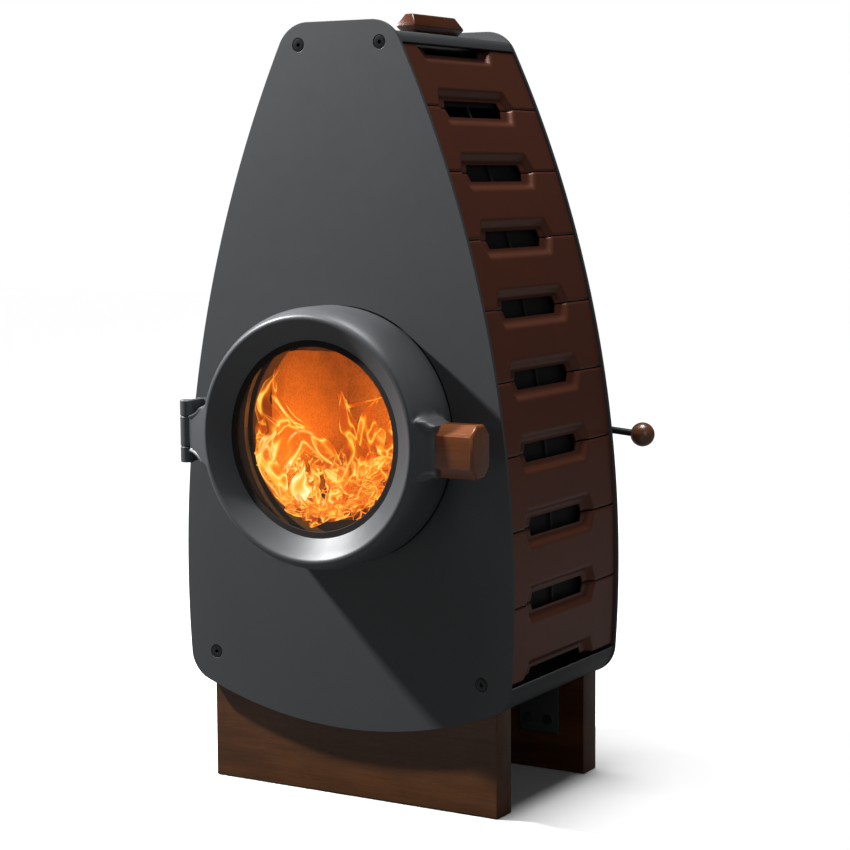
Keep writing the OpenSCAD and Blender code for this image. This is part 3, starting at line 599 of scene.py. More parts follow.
# ---------------------------------------------------------------------------
# Side panels: nine pressed sheets down each side, each a course a little
# taller than the one above. Every edge has half an air slot sunk in a pressed
# pocket. They hang on welded frames and are sprayed satin brown.
# ---------------------------------------------------------------------------
def panel_tree():
    tree = bpy.data.node_groups.new("pressed_panel", "GeometryNodeTree")
    fields = [("Low Angle", 0.0), ("High Angle", 0.1), ("Arc Radius", 1.896), ("Centre X", -1.6), ("Centre Z", 0.34),
              ("Half Depth", 0.175), ("Slot Middle", -0.014), ("Slot Half Length", 0.088),
              ("Slot Half Height", 0.013),
              ("Slot Point", 0.006), ("Pocket Half Length", 0.119), ("Pocket Half Height", 0.030),
              ("Pocket Point", 0.016),
              ("Pocket Depth", 0.0085), ("Wall Width", 0.013), ("Edge Roll", 0.0012), ("Side", 1.0)]
    for label, start in fields:
        tree.interface.new_socket(name=label, in_out="INPUT", socket_type="NodeSocketFloat").default_value = start
    tree.interface.new_socket(name="Finish", in_out="INPUT", socket_type="NodeSocketMaterial")
    tree.interface.new_socket(name="Panel", in_out="OUTPUT", socket_type="NodeSocketGeometry")
    start, end = tree.nodes.new("NodeGroupInput"), tree.nodes.new("NodeGroupOutput")
    got = start.outputs

    def m(operation, *values, clamp=False):
        return maths(tree, operation, *values, clamp=clamp)

    def plus(a, b):
        return m("ADD", a, b)

    def minus(a, b):
        return m("SUBTRACT", a, b)

    def times(a, b, clamp=False):
        return m("MULTIPLY", a, b, clamp=clamp)

    grid = put(tree, "GeometryNodeMeshGrid", {"Size X": 1.0, "Size Y": 1.0, "Vertices X": 137, "Vertices Y": 49})
    where = put(tree, "ShaderNodeSeparateXYZ", {0: tree.nodes.new("GeometryNodeInputPosition").outputs[0]})
    u = plus(where.outputs[0], 0.5)
    v = plus(where.outputs[1], 0.5)
    # Rows: a quarter of them at each edge cover the half slot, the rest the sheet between.
    height = times(minus(got["High Angle"], got["Low Angle"]), got["Arc Radius"])
    band = times(got["Slot Half Height"], plus(times(v, 6.0, clamp=True), times(minus(v, 5 / 6), 6.0, clamp=True)))
    between = times(minus(height, times(got["Slot Half Height"], 2.0)),
                    m("DIVIDE", minus(v, 1 / 6), 4 / 6, clamp=True))
    s = plus(band, between)
    edge = m("MINIMUM", s, minus(height, s))
    # Columns: the middle half of them cover the slot, whose ends lean back to its points.
    lean = times(got["Slot Point"], m("DIVIDE", edge, got["Slot Half Height"], clamp=True))
    half = minus(got["Slot Half Length"], lean)
    front_run = minus(plus(got["Half Depth"], got["Slot Middle"]), half)
    rear_run = minus(minus(got["Half Depth"], got["Slot Middle"]), half)
    y = plus(times(got["Half Depth"], -1.0), times(front_run, times(u, 4.0, clamp=True)))
    y = plus(y, times(times(half, 2.0), times(minus(u, 0.25), 2.0, clamp=True)))
    y = plus(y, times(rear_run, times(minus(u, 0.75), 4.0, clamp=True)))
    # Pocket: six-sided, with sloping walls, deepest all round the slot.
    away = m("ABSOLUTE", minus(y, got["Slot Middle"]))
    tip = m("DIVIDE", minus(minus(got["Pocket Half Length"], times(edge, 0.55)), away), 1.14)
    wall = minus(got["Pocket Half Height"], edge)
    inside = m("SMOOTH_MIN", tip, wall, 0.006)
    pressed = times(got["Pocket Depth"], ranged(tree, inside, 0.0, got["Wall Width"], 0.0, 1.0, True))
    rolled = times(got["Edge Roll"], m("POWER", minus(1.0, m("DIVIDE", edge, 0.0035, clamp=True)), 2.0))
    radius = minus(got["Arc Radius"], plus(pressed, rolled))
    angle = plus(got["Low Angle"], m("DIVIDE", s, got["Arc Radius"]))
    x = times(plus(got["Centre X"], times(radius, m("COSINE", angle))), got["Side"])
    z = plus(got["Centre Z"], times(radius, m("SINE", angle)))
    spot = put(tree, "ShaderNodeCombineXYZ", {0: x, 1: y, 2: z})
    # Faces of the slot are left out, chosen before the sheet is bent.
    open_u = m("LESS_THAN", m("ABSOLUTE", minus(u, 0.5)), 0.2499)
    open_v = m("GREATER_THAN", m("ABSOLUTE", minus(v, 0.5)), 0.3334)
    slot = times(open_u, open_v)
    cut = put(tree, "GeometryNodeDeleteGeometry", {"Geometry": grid.outputs["Mesh"]}, domain="FACE")
    tree.links.new(slot, cut.inputs["Selection"])
    bent = put(tree, "GeometryNodeSetPosition", {"Geometry": cut.outputs[0], "Position": spot.outputs[0]})
    real = put(tree, "GeometryNodeRealizeInstances", {"Geometry": bent.outputs[0]})
    done = put(tree, "GeometryNodeSetMaterial", {"Geometry": real.outputs[0], "Material": got["Finish"]})
    tree.links.new(done.outputs[0], end.inputs["Panel"])
    return tree


copper_brown = grained("copper_brown_paint", (0.150, 0.046, 0.024), 0.34, metal=0.35, cloud=0.10, cloud_scale=7.0,
                       grain_scale=1700.0, grain_tone=0.22, gloss_spread=0.06, dust=0.02, coat=0.15, coat_gloss=0.3)
pressing = panel_tree()
for side_name, side in (("left", -1.0), ("right", 1.0)):
    for k in range(1, 10):
        node = f"{side_name}_panel_{k}"
        low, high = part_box(node)
        panel = add_object(f"{node}_sheet", bpy.data.meshes.new(node))
        shape = panel.modifiers.new("press", "NODES")
        shape.node_group = pressing
        seam_gap = 0.0011 if low.z > widest_z else 0.0
        for label, number in (("Low Angle",
                               math.asin((low.z + seam_gap - widest_z) / (side_r - inset))),
                              ("High Angle", math.asin((high.z - widest_z) / (side_r - inset))),
                              ("Arc Radius", side_r - inset), ("Centre X", side_cx), ("Centre Z", widest_z),
                              ("Half Depth", inner_y), ("Slot Middle", -0.014), ("Side", side),
                              ("Finish", copper_brown)):
            set_input(shape, label, number)
        panel = thick(baked(panel), 0.0022, -side, 0.0)
        finish_piece(panel, copper_brown, "casing", "panel_paint", node)
# The welded frames seen through the slots are near black and not metal: painted shade, standing in for the dark
# inside the casing.
frame_steel = grained("frame_steel", (0.022, 0.022, 0.023), 0.55, metal=0.0, cloud=0.2, cloud_scale=11.0,
                      grain_scale=500.0,
                      gloss_spread=0.12, dust=0.0)
soot_black = grained("soot_black", (0.018, 0.018, 0.019), 0.7, cloud=0.3, cloud_scale=9.0, grain_scale=800.0,
                     grain_tone=0.2)
dress("panel_frames", frame_steel)
dress("air_jackets", soot_black)


# ---------------------------------------------------------------------------
# Base tray: a 3 mm skin rolled to the plates' rounded foot, with a flat deck
# and two webs welded in it. Four tabs under it take the plinth's screws.
# ---------------------------------------------------------------------------
panel_low_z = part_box("left_panel_9")[0].z
inlet_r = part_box("air_inlet")[1].x
tray_t = 0.003
deck_z = 0.212
deck_t = 0.004
web_x = 0.205
tab_x = 0.180
tab_half_w = 0.035
tab_low = 0.062
tab_t = 0.004


def joined(name, pieces):
    """Puts several meshes into one piece."""
    whole = bmesh.new()
    for piece in pieces:
        whole.from_mesh(piece.data)
        bpy.data.objects.remove(piece)
    mesh = bpy.data.meshes.new(name)
    whole.to_mesh(mesh)
    whole.free()
    mesh.set_sharp_from_angle(angle=math.radians(35))
    return add_object(name, mesh)


def foot_z(x, step):
    """The height of the casing's rounded foot above X, on the outline moved inwards by step."""
    x = abs(x)
    on_belly = belly_cz - math.sqrt((belly_r - step) ** 2 - x ** 2)
    turn_x = (belly_r - step) * math.cos(belly_end)
    if x <= turn_x:
        return on_belly
    reach = base_r - step
    return base_cz - math.sqrt(max(0.0, reach ** 2 - (x - base_cx) ** 2)) if x - base_cx < reach else base_cz


def blocks(name, boxes, chamfer, edge, segments=2):
    """Square blocks with their edges cut back by chamfer, and the cut's own edges eased."""
    solid = bmesh.new()
    for low, high in boxes:
        made = bmesh.ops.create_cube(solid, size=1.0)["verts"]
        for corner in made:
            corner.co = Vector([low[i] if corner.co[i] < 0 else high[i] for i in range(3)])
    if chamfer:
        bmesh.ops.bevel(solid, geom=solid.edges[:], offset=chamfer, segments=1, profile=0.5, affect="EDGES")
    if edge:
        bmesh.ops.bevel(solid, geom=solid.edges[:], offset=edge, segments=segments, profile=0.5, affect="EDGES")
    return solid_piece(name, solid, 50 if chamfer else 60)


skin_line = [p for p in outline(inset) if p[1] < panel_low_z - 0.0008]
skin_turn = next(i for i in range(len(skin_line)) if skin_line[i][0] < 0)
skin_line = skin_line[skin_turn:] + skin_line[:skin_turn]
skin = thick(swept("skin", skin_line, -inner_y, inner_y), tray_t, 1, 0.0004)
bore = lathe("bore", [(inlet_r + 0.003, 0.06), (inlet_r + 0.003, 0.26), (0.0001, 0.26), (0.0001, 0.06)], 96, "Z",
             closed=True)
cut = skin.modifiers.new("hole", "BOOLEAN")
cut.operation = "DIFFERENCE"
cut.object = bore
skin = baked(skin)
bpy.data.objects.remove(bore)
deck = cut_sheet("deck", [[(-0.228, -inner_y), (0.228, -inner_y), (0.228, inner_y), (-0.228, inner_y)],
                          circle(0, 0, inlet_r + 0.003)],
                 deck_z - deck_t, deck_z, 0.0004, True)
webs = [blocks(f"web_{i}", [((side * web_x - 0.002, -inner_y, foot_z(web_x + 0.002, inset + tray_t) + 0.0002),
                             (side * web_x + 0.002, inner_y, deck_z - deck_t - 0.0001))], 0, 0.0004) for i,
        side in enumerate((-1, 1))]
tabs = []
for y in (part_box("front_board")[1].y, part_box("rear_board")[0].y - tab_t):
    for side in (-1, 1):
        edge_x = [side * tab_x + tab_half_w * (1 - i / 6) for i in range(13)]
        tabs.append(cut_sheet(f"tab_{len(tabs)}",
                              [[(side * tab_x - tab_half_w, tab_low), (side * tab_x + tab_half_w, tab_low)]
                                                   + [(x, foot_z(x, inset) + 0.0001) for x in edge_x]], y, y + tab_t,
                              0.0004))
finish_piece(joined("tray_foot", [skin, deck, *webs, *tabs]), graphite, "casing", "skin_paint", "base_tray")


# ---------------------------------------------------------------------------
# Plinth boards: two 45 mm hardwood boards on edge, their tops sawn hollow to
# the foot's curve. Steel screws hold them to the tray's tabs from inside.
# ---------------------------------------------------------------------------
def plinth(node, name):
    low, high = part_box(node)
    flat_top = base_cz - base_r + inset + 0.006
    tops = [high.x - (high.x - low.x) * i / 64 for i in range(65)]
    loop = [(low.x, low.z), (high.x, low.z)] + [(x, min(foot_z(x, inset), flat_top) - 0.0002) for x in tops]
    board = cut_sheet(name, [loop], low.y, high.y, 0.0016)
    return finish_piece(board, wood_x, "casing", "wood", node)


plinth("front_board", "plinth_front")
plinth("rear_board", "plinth_rear")
dress("board_screws", bare_steel)


# ---------------------------------------------------------------------------
# Air ways: a steel inlet pipe through the foot and a folded duct up the
# firebox's back, both galvanised, and a rolled flue collar in stove paint.
# ---------------------------------------------------------------------------
galvanised = grained("galvanised_sheet", (0.42, 0.43, 0.44), 0.40, metal=1.0, cloud=0.35, cloud_scale=60.0,
                     grain_scale=300.0,
                     grain_tone=0.2, gloss_spread=0.2, dust=0.05)
inlet_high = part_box("air_inlet")[1].z
pipe = lathe("inlet_pipe", [(inlet_r - 0.002, 0.0004), (inlet_r - 0.0016, 0.0), (inlet_r - 0.0004, 0.0),
                            (inlet_r, 0.0004),
                            (inlet_r, inlet_high), (inlet_r - 0.002, inlet_high)], 96, "Z", closed=True)
finish_piece(pipe, galvanised, "casing", "bare_steel", "air_inlet")
dress("air_duct", galvanised)
box_black = grained("box_black", (0.030, 0.030, 0.032), 0.62, cloud=0.25, cloud_scale=9.0, grain_scale=1100.0,
                    grain_tone=0.18)
flue_low, flue_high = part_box("flue_collar")
flue_r = 0.075
collar = lathe("flue_tube", [(flue_r - 0.003, flue_low.y), (flue_high.x, flue_low.y),
                             (flue_high.x, flue_low.y + 0.0034),
                             (flue_high.x - 0.0006, flue_low.y + 0.004), (flue_r + 0.002, flue_low.y + 0.004),
                             (flue_r, flue_low.y + 0.006),
                             (flue_r, flue_high.y - 0.0008), (flue_r - 0.0008, flue_high.y),
                             (flue_r - 0.0022, flue_high.y),
                             (flue_r - 0.003, flue_high.y - 0.0008)], 128, "Y", (0, 0, flue_mid.z), True)
finish_piece(collar, box_black, "casing", "box_paint", "flue_collar")


# ---------------------------------------------------------------------------
# Firebox: welded sheet lined with pressed vermiculite boards that darken with
# soot as they rise. A cast grate, ash pan and log guard lie in its floor.
# ---------------------------------------------------------------------------
def vermiculite():
    material, tree, shader = new_material("vermiculite")
    place = tree.nodes.new("ShaderNodeTexCoord").outputs["Object"]
    flake = put(tree, "ShaderNodeTexVoronoi",
                {"Vector": place, "Scale": 240.0, "Randomness": 1.0}).outputs["Distance"]
    cloud = noise(tree, place, 7.0, 5.0, 0.6)
    height = put(tree, "ShaderNodeSeparateXYZ", {0: place}).outputs["Z"]
    soot = maths(tree, "ADD", ranged(tree, height, 0.40, 0.70, 0.15, 0.65),
                 maths(tree, "MULTIPLY", maths(tree, "SUBTRACT", cloud, 0.5), 1.1), clamp=True)
    board = blended(tree, ranged(tree, flake, 0.0, 0.6, 0.0, 1.0), (0.22, 0.14, 0.08, 1), (0.40, 0.27, 0.15, 1))
    tree.links.new(blended(tree, soot, board, (0.06, 0.045, 0.035, 1)), shader.inputs["Base Color"])
    tree.links.new(ranged(tree, cloud, 0.3, 0.7, 0.82, 0.97), shader.inputs["Roughness"])
    relief = put(tree, "ShaderNodeBump", {"Height": flake, "Strength": 0.5, "Distance": 0.001})
    tree.links.new(relief.outputs["Normal"], shader.inputs["Normal"])
    return material


brick = vermiculite()
for node in ("side_bricks", "back_brick", "floor_brick", "baffle_board"):
    dress(node, brick)
dress("firebox_body", box_black)
raw_casting = grained("raw_casting", (0.050, 0.046, 0.043), 0.66, metal=0.35, cloud=0.35, cloud_scale=16.0,
                      grain_scale=420.0,
                      grain_tone=0.3, gloss_spread=0.12, bump=0.4, bump_depth=0.0008)
dress("grate", raw_casting)
dress("log_guard", raw_casting)
dress("ash_pan", galvanised)


# ---------------------------------------------------------------------------
# Fire: three split logs with charred bark and glowing cracks, burning over
# the grate. Each flame is a thin curled tongue of hot gas with a tapered tip.
# ---------------------------------------------------------------------------
hearth_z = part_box("side_bricks")[0].z
chance = np.random.default_rng(11)


def tube(name, rows, faces_round):
    """Skins rows of points into a closed tube and caps both ends."""
    verts = [tuple(p) for row in rows for p in row]
    n = faces_round
    faces = [(j * n + i, j * n + (i + 1) % n, (j + 1) * n + (i + 1) % n,
              (j + 1) * n + i) for j in range(len(rows) - 1) for i in range(n)]
    faces += [tuple(reversed(range(n))), tuple(range((len(rows) - 1) * n, len(rows) * n))]
    mesh = bpy.data.meshes.new(name)
    mesh.from_pydata(verts, [], faces)
    outward(mesh, 1e-6)
    mesh.shade_smooth()
    return add_object(name, mesh)


def split_log(name, start, end, r, seed):
    """A quarter-split log: two flat sawn faces and a lumpy back of bark."""
    draw = np.random.default_rng(seed)
    start, end = Vector(start), Vector(end)
    along = (end - start).normalized()
    across = along.cross(Vector((0, 0, 1))).normalized()
    over = across.cross(along)
    shape = [(-0.62, -0.40), (-0.20, -0.52), (0.24, -0.50), (0.66, -0.34), (0.60, 0.02), (0.42, 0.36), (0.10, 0.62),
             (-0.10, 0.66),
             (-0.40, 0.40), (-0.58, 0.04)]
    wobble = draw.normal(0, 0.045, (26, len(shape), 2))
    rows = []
    for j in range(26):
        t = j / 25
        ease = r * (0.93 if j in (0, 25) else 1.0)
        rows.append([start.lerp(end, t) + across * ease * (u + wobble[j, k, 0]) + over * ease * (w + wobble[j, k, 1])
                     for k, (u, w) in enumerate(shape)])
    return tube(name, rows, len(shape))


def charred():
    material, tree, shader = new_material("charred_log")
    place = tree.nodes.new("ShaderNodeTexCoord").outputs["Object"]
    crack = put(tree, "ShaderNodeTexVoronoi", {"Vector": place, "Scale": 70.0},
                feature="DISTANCE_TO_EDGE").outputs["Distance"]
    ash = noise(tree, place, 30.0, 4.0, 0.6)
    tree.links.new(blended(tree, ranged(tree, ash, 0.5, 0.75, 0.0, 0.6), (0.018, 0.013, 0.011, 1),
                           (0.20, 0.17, 0.15, 1)), shader.inputs["Base Color"])
    tree.links.new(ranged(tree, ash, 0.3, 0.7, 0.75, 0.95), shader.inputs["Roughness"])
    glow = maths(tree, "MULTIPLY", ranged(tree, crack, 0.0, 0.09, 1.0, 0.0),
                 ranged(tree, noise(tree, place, 14.0, 2.0, 0.5), 0.4, 0.6, 0.1, 1.0))
    tree.links.new(blended(tree, glow, (0.01, 0.0015, 0.0, 1), (1.0, 0.22, 0.015, 1)),
                   shader.inputs["Emission Color"])
    shader.inputs["Emission Strength"].default_value = 3.0
    relief = put(tree, "ShaderNodeBump", {"Height": crack, "Strength": 0.8, "Distance": 0.002})
    tree.links.new(relief.outputs["Normal"], shader.inputs["Normal"])
    return material


char = charred()
logs = joined("logs", [split_log("log_0", (-0.125, -0.045, hearth_z + 0.030), (0.120, -0.020, hearth_z + 0.034),
                                 0.048, 1),
                       split_log("log_1", (-0.110, 0.045, hearth_z + 0.032), (0.128, 0.030, hearth_z + 0.028), 0.046,
                                 2),
                       split_log("log_2", (-0.095, -0.055, hearth_z + 0.082), (0.085, 0.060, hearth_z + 0.092), 0.042,
                                 3)])
logs.data.shade_smooth()
finish_piece(logs, char, "casing", "brick")

# Flames are set out sideways and up from the middle of the door's glass, in glass radii, then carried back to their
# depth along a line of sight from the front right, so they fill the window when it is seen from there.
glass_low, glass_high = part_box("door_glass")
glass_y = glass_low.y
sight_r = 0.140
sight_side, sight_drop = 0.592, 0.132
mouth_r, flame_r, above_hearth = 0.160, 0.164, 0.012
flame_verts, flame_faces, flame_flow, flame_heat = [], [], [], []


def behind_glass(side, up, y):
    x = sight_r * side - sight_side * (y - glass_y)
    z = sight_r * up - sight_drop * (y - glass_y)
    pull = min(1.0, mouth_r / max(1e-6, math.hypot(x, z)))
    return Vector((x * pull, y, max(door_mid.z + z * pull, hearth_z + above_hearth)))


def smooth_line(points, count):
    """A smooth line through every point given."""
    ends = [points[0] * 2 - points[1]] + list(points) + [points[-1] * 2 - points[-2]]
    line = []
    for i in range(count):
        s = i / (count - 1) * (len(points) - 1)
        k = min(int(s), len(points) - 2)
        t = s - k
        a, b, c, d = ends[k:k + 4]
        bend = (2 * a - 5 * b + 4 * c - d) * t * t
        line.append(0.5 * ((2 * b) + (c - a) * t + bend + (3 * b - a - 3 * c + d) * t ** 3))
    return line


def tongue(places, width, heat_root, heat_tip, root=0.35, curl=0.3, rows=34, sides=12):
    line = smooth_line([behind_glass(*p) for p in places], rows)
    facing = Vector((-0.5, 0.86, -0.1)).normalized()
    phase = chance.uniform(0, 6.28, 3)
    first = len(flame_verts)
    seed = chance.uniform(0, 50)
    for j, spot in enumerate(line):
        t = j / (rows - 1)
        run = (line[min(j + 1, rows - 1)] - line[max(j - 1, 0)]).normalized()
        across = run.cross(facing).normalized()
        deep = across.cross(run)
        swell = (root * (1 - t) ** 2 + math.sin(math.pi * min(1, t ** 0.75)) ** 0.9 * (1 - 0.35 * t)) + 0.015
        swell *= 1 + 0.22 * math.sin(9 * t + phase[0]) + 0.12 * math.sin(21 * t + phase[1])
        sway = across * width * curl * math.sin(7 * t + phase[2]) * t
        for k in range(sides):
            a = 2 * math.pi * k / sides
            point = spot + sway + across * width * swell * math.cos(a) + deep * width * 0.30 * swell * math.sin(a)
            hold = min(1.0, flame_r / max(1e-6, math.hypot(point.x, point.z - door_mid.z)))
            flame_verts.append((point.x * hold, point.y, door_mid.z + (point.z - door_mid.z) * hold))
            flame_flow.append((math.cos(a) * width * 60, t * len(places) * 0.9, seed))
            flame_heat.append(heat_root + (heat_tip - heat_root) * t)
    for j in range(rows - 1):
        for k in range(sides):
            flame_faces.append((first + j * sides + k, first + j * sides + (k + 1) % sides,
                                first + (j + 1) * sides + (k + 1) % sides, first + (j + 1) * sides + k))
    flame_faces.append(tuple(first + k for k in reversed(range(sides))))
    flame_faces.append(tuple(first + (rows - 1) * sides + k for k in range(sides)))


near, mid, far = -0.172, -0.145, -0.110
tongue([(-0.50, -0.70, near), (-0.66, -0.25, near), (-0.60, 0.15, near), (-0.74, 0.45, near), (-0.60, 0.84, near)],
       0.021, 0.75, 0.50)
tongue([(-0.78, -0.40, near), (-0.66, -0.10, near), (-0.56, 0.08, near), (-0.70, 0.28, near)], 0.014, 0.95, 0.70)
tongue([(0.30, -0.28, mid), (0.10, -0.12, near), (-0.12, 0.04, near), (-0.32, 0.22, near), (-0.52, 0.50, near),
        (-0.60, 0.82, near)], 0.011, 0.85, 0.55)
tongue([(-0.60, -0.45, near), (-0.40, -0.05, near), (-0.42, 0.20, near), (-0.56, 0.48, near)], 0.016, 0.80, 0.55)
tongue([(-0.45, -0.40, mid), (-0.22, -0.02, mid), (0.02, -0.16, mid), (0.26, -0.14, mid)], 0.013, 0.90, 0.70)
tongue([(0.35, -0.55, mid), (0.50, -0.10, mid), (0.42, 0.22, mid), (0.28, 0.54, mid)], 0.020, 0.62, 0.40)
tongue([(0.60, -0.50, mid), (0.72, -0.10, mid), (0.66, 0.20, mid), (0.86, 0.50, mid)], 0.021, 0.60, 0.35)
tongue([(0.28, 0.52, mid), (0.38, 0.40, mid), (0.56, 0.42, mid), (0.88, 0.52, mid)], 0.0035, 0.70, 0.45)
tongue([(0.10, -0.34, mid), (0.40, -0.50, mid), (0.70, -0.46, mid), (0.97, -0.30, mid)], 0.013, 0.75, 0.50)
tongue([(-0.22, -0.80, mid), (-0.24, -0.50, near), (-0.18, -0.24, near)], 0.013, 1.15, 0.95)
for side, up in ((-0.62, -0.46), (-0.34, -0.36), (-0.05, -0.30), (0.18, -0.36), (0.42, -0.55), (0.64, -0.62)):
    tongue([(0.04 + side * 0.15, -0.96, far), (0.04 + side * 0.45, -0.76, mid), (side, up, mid)], 0.009, 0.80, 0.55)
for i in range(34):
    side, up = chance.uniform(-0.80, 0.85), chance.uniform(-0.95, -0.35)
    if math.hypot(side, up) > 0.98:
        up *= 0.75
    rise, lean, depth = chance.uniform(0.22, 0.62), chance.normal(0, 0.20), chance.uniform(near, -0.07)
    tongue([(side, up, depth), (side + lean * 0.2 + chance.normal(0, 0.07), up + rise * 0.35, depth),
            (side + lean * 0.7 + chance.normal(0, 0.07), up + rise * 0.7, depth), (side + lean, up + rise, depth)],
           chance.choice([0.0035, 0.0065, 0.0110]), chance.uniform(0.65, 1.1), chance.uniform(0.35, 0.6))

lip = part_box("door_frame")[0].y + 0.006
for i in range(18):
    turn = math.radians(-172 + 164 * i / 17)
    side, up = 0.93 * math.cos(turn), 0.93 * math.sin(turn)
    rise, lean = chance.uniform(0.16, 0.40), chance.normal(0, 0.08) - side * 0.15
    tongue([(side, up, lip), (side + lean * 0.3, up + rise * 0.35, lip), (side + lean * 0.8, up + rise * 0.7, lip),
            (side + lean, up + rise, lip + 0.01)], chance.choice([0.012, 0.018, 0.024]), chance.uniform(0.45, 0.80),
           chance.uniform(0.3, 0.5))

flame_mesh = bpy.data.meshes.new("flames")
flame_mesh.from_pydata(flame_verts, [], flame_faces)
flame_mesh.attributes.new("flow", "FLOAT_VECTOR", "POINT").data.foreach_set("vector",
                                                                            [c for f in flame_flow for c in f])
flame_mesh.attributes.new("warmth", "FLOAT", "POINT").data.foreach_set("value", flame_heat)
outward(flame_mesh)
flame_mesh.shade_smooth()


def heat_color(tree, heat):
    ember = blended(tree, ranged(tree, heat, 0.05, 0.42, 0.0, 1.0), (0.55, 0.050, 0.001, 1), (0.95, 0.20, 0.006, 1))
    amber = blended(tree, ranged(tree, heat, 0.42, 0.80, 0.0, 1.0), ember, (1.0, 0.58, 0.06, 1))
    return blended(tree, ranged(tree, heat, 0.80, 1.20, 0.0, 1.0), amber, (1.0, 0.92, 0.52, 1))


flame, tree, shader = new_material("flame")
flow = put(tree, "ShaderNodeAttribute", attribute_name="flow").outputs["Vector"]
warp = noise(tree, flow, 0.62, 1.0, 0.45, 0.7)
ridge = maths(tree, "POWER", maths(tree, "SUBTRACT", 1.0, maths(tree, "ABSOLUTE",
                                                                maths(tree, "SUBTRACT",
                                                                      maths(tree, "MULTIPLY", warp, 2.0), 1.0))), 8.0)
rim = maths(tree, "POWER", put(tree, "ShaderNodeLayerWeight", {"Blend": 0.5}).outputs["Facing"], 2.0)
warmth = put(tree, "ShaderNodeAttribute", attribute_name="warmth").outputs["Fac"]
total = maths(tree, "ADD", maths(tree, "SUBTRACT", maths(tree, "MULTIPLY", warmth, 0.62), 0.26),
              maths(tree, "ADD", maths(tree, "MULTIPLY", ridge, 0.80), maths(tree, "MULTIPLY", rim, 0.10)))
tree.links.new(heat_color(tree, total), shader.inputs["Emission Color"])
shader.inputs["Emission Strength"].default_value = 1.25
cover = maths(tree, "ADD", maths(tree, "MULTIPLY", ridge, 0.80), maths(tree, "MULTIPLY", rim, 0.30))
tree.links.new(maths(tree, "ADD", cover, maths(tree, "MULTIPLY", warmth, 0.30), clamp=True), shader.inputs["Alpha"])
tree.links.new(ranged(tree, warp, 0.2, 0.8, 0.9, 1.0), shader.inputs["Roughness"])
shader.inputs["Base Color"].default_value = (0.02, 0.004, 0.001, 1)
shader.inputs["Specular IOR Level"].default_value = 0.0
finish_piece(add_object("flames", flame_mesh), flame, "casing", "glass")


# ---------------------------------------------------------------------------
# Door frame and catch: a turned collar bolted to the firebox's mouth, with a
# sprung steel plunger let into its side. Both are bare or matte black inside.
# ---------------------------------------------------------------------------
dress("door_frame", box_black)
dress("catch_plunger", bare_steel)
dress("catch_spring", bare_steel)
dress("catch_tongue", bare_steel)


# ---------------------------------------------------------------------------
# Hinge: two cast knuckles on feet studded to the front plate, and a steel pin
# dropped through them and the door's lug. Their rims are lightly chamfered.
# ---------------------------------------------------------------------------
cast_grey = grained("cast_stove_paint", (0.078, 0.083, 0.089), 0.44, cloud=0.08, cloud_scale=8.0, grain_scale=1000.0,
                    grain_tone=0.22,
                    gloss_spread=0.06, dust=0.04, bump=0.30, bump_depth=0.0003, coat=0.04, coat_gloss=0.45)
hinge_low, hinge_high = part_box("hinge_bracket")
pin_low, pin_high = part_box("hinge_pin")
hinge_x = (pin_low.x + pin_high.x) / 2
pin_y = (pin_low.y + pin_high.y) / 2
barrel_r = 0.011
knuckle_h = 0.025
pin_bore, rim = 0.00402, 0.0012
knuckles = []
for i, knuckle_z in enumerate((hinge_low.z, hinge_high.z - knuckle_h)):
    top = knuckle_z + knuckle_h
    knuckles.append(lathe(f"knuckle_{i}", [(pin_bore, knuckle_z), (barrel_r - rim, knuckle_z),
                                           (barrel_r, knuckle_z + rim),
                                           (barrel_r, top - rim), (barrel_r - rim, top), (pin_bore, top)],
                          64, "Z", (hinge_x, pin_y, 0), True))
    knuckles.append(blocks(f"arm_{i}", [((hinge_x - 0.005, pin_y + 0.004, knuckle_z + 0.0008),
                                         (hinge_x + 0.005, front_y - 0.0004, top - 0.0008)),
                                        ((hinge_x - 0.009, front_y - 0.003, knuckle_z),
                                         (hinge_x + 0.027, front_y - 0.0001, top))], 0, 0.0009))
finish_piece(joined("hinge_knuckles", knuckles), cast_grey, "casing", "cast_paint", "hinge_bracket")
dress("hinge_pin", bare_steel)


# ---------------------------------------------------------------------------
# Door ring: one grey casting, painted matte. Its round body flows out into a
# lug at the hinge and a neck at the grip, so the outline is made as a rule:
# a circle joined to a bar by fillets, stepped inwards to round its edges.
# ---------------------------------------------------------------------------
ring_r = 0.1995


def bar_outline(turn, circle_r, half_up, half_down, fillet, end):
    """How far the outline is from the middle at each angle, for a circle with one bar along +X."""
    up = np.sin(turn) >= 0
    half = np.where(up, half_up, half_down)
    angle = np.arccos(np.clip(np.cos(turn), -1, 1))
    cx = np.sqrt((circle_r + fillet) ** 2 - (half + fillet) ** 2)
    cz = half + fillet
    ahead = np.cos(angle) * cx + np.sin(angle) * cz
    inside = np.maximum(ahead ** 2 - (cx ** 2 + cz ** 2 - fillet ** 2), 0.0)
    curve = ahead - np.sqrt(inside)
    flat = half / np.maximum(np.sin(angle), 1e-6)
    bar = np.where(angle < np.arctan2(half, cx), flat, curve)
    bar = np.where(angle > np.arctan2(cz, cx), circle_r, bar)
    limit = np.where(np.cos(angle) > 1e-3, end / np.maximum(np.cos(angle), 1e-3), 9.0)
    return np.maximum(np.minimum(bar, limit), circle_r)


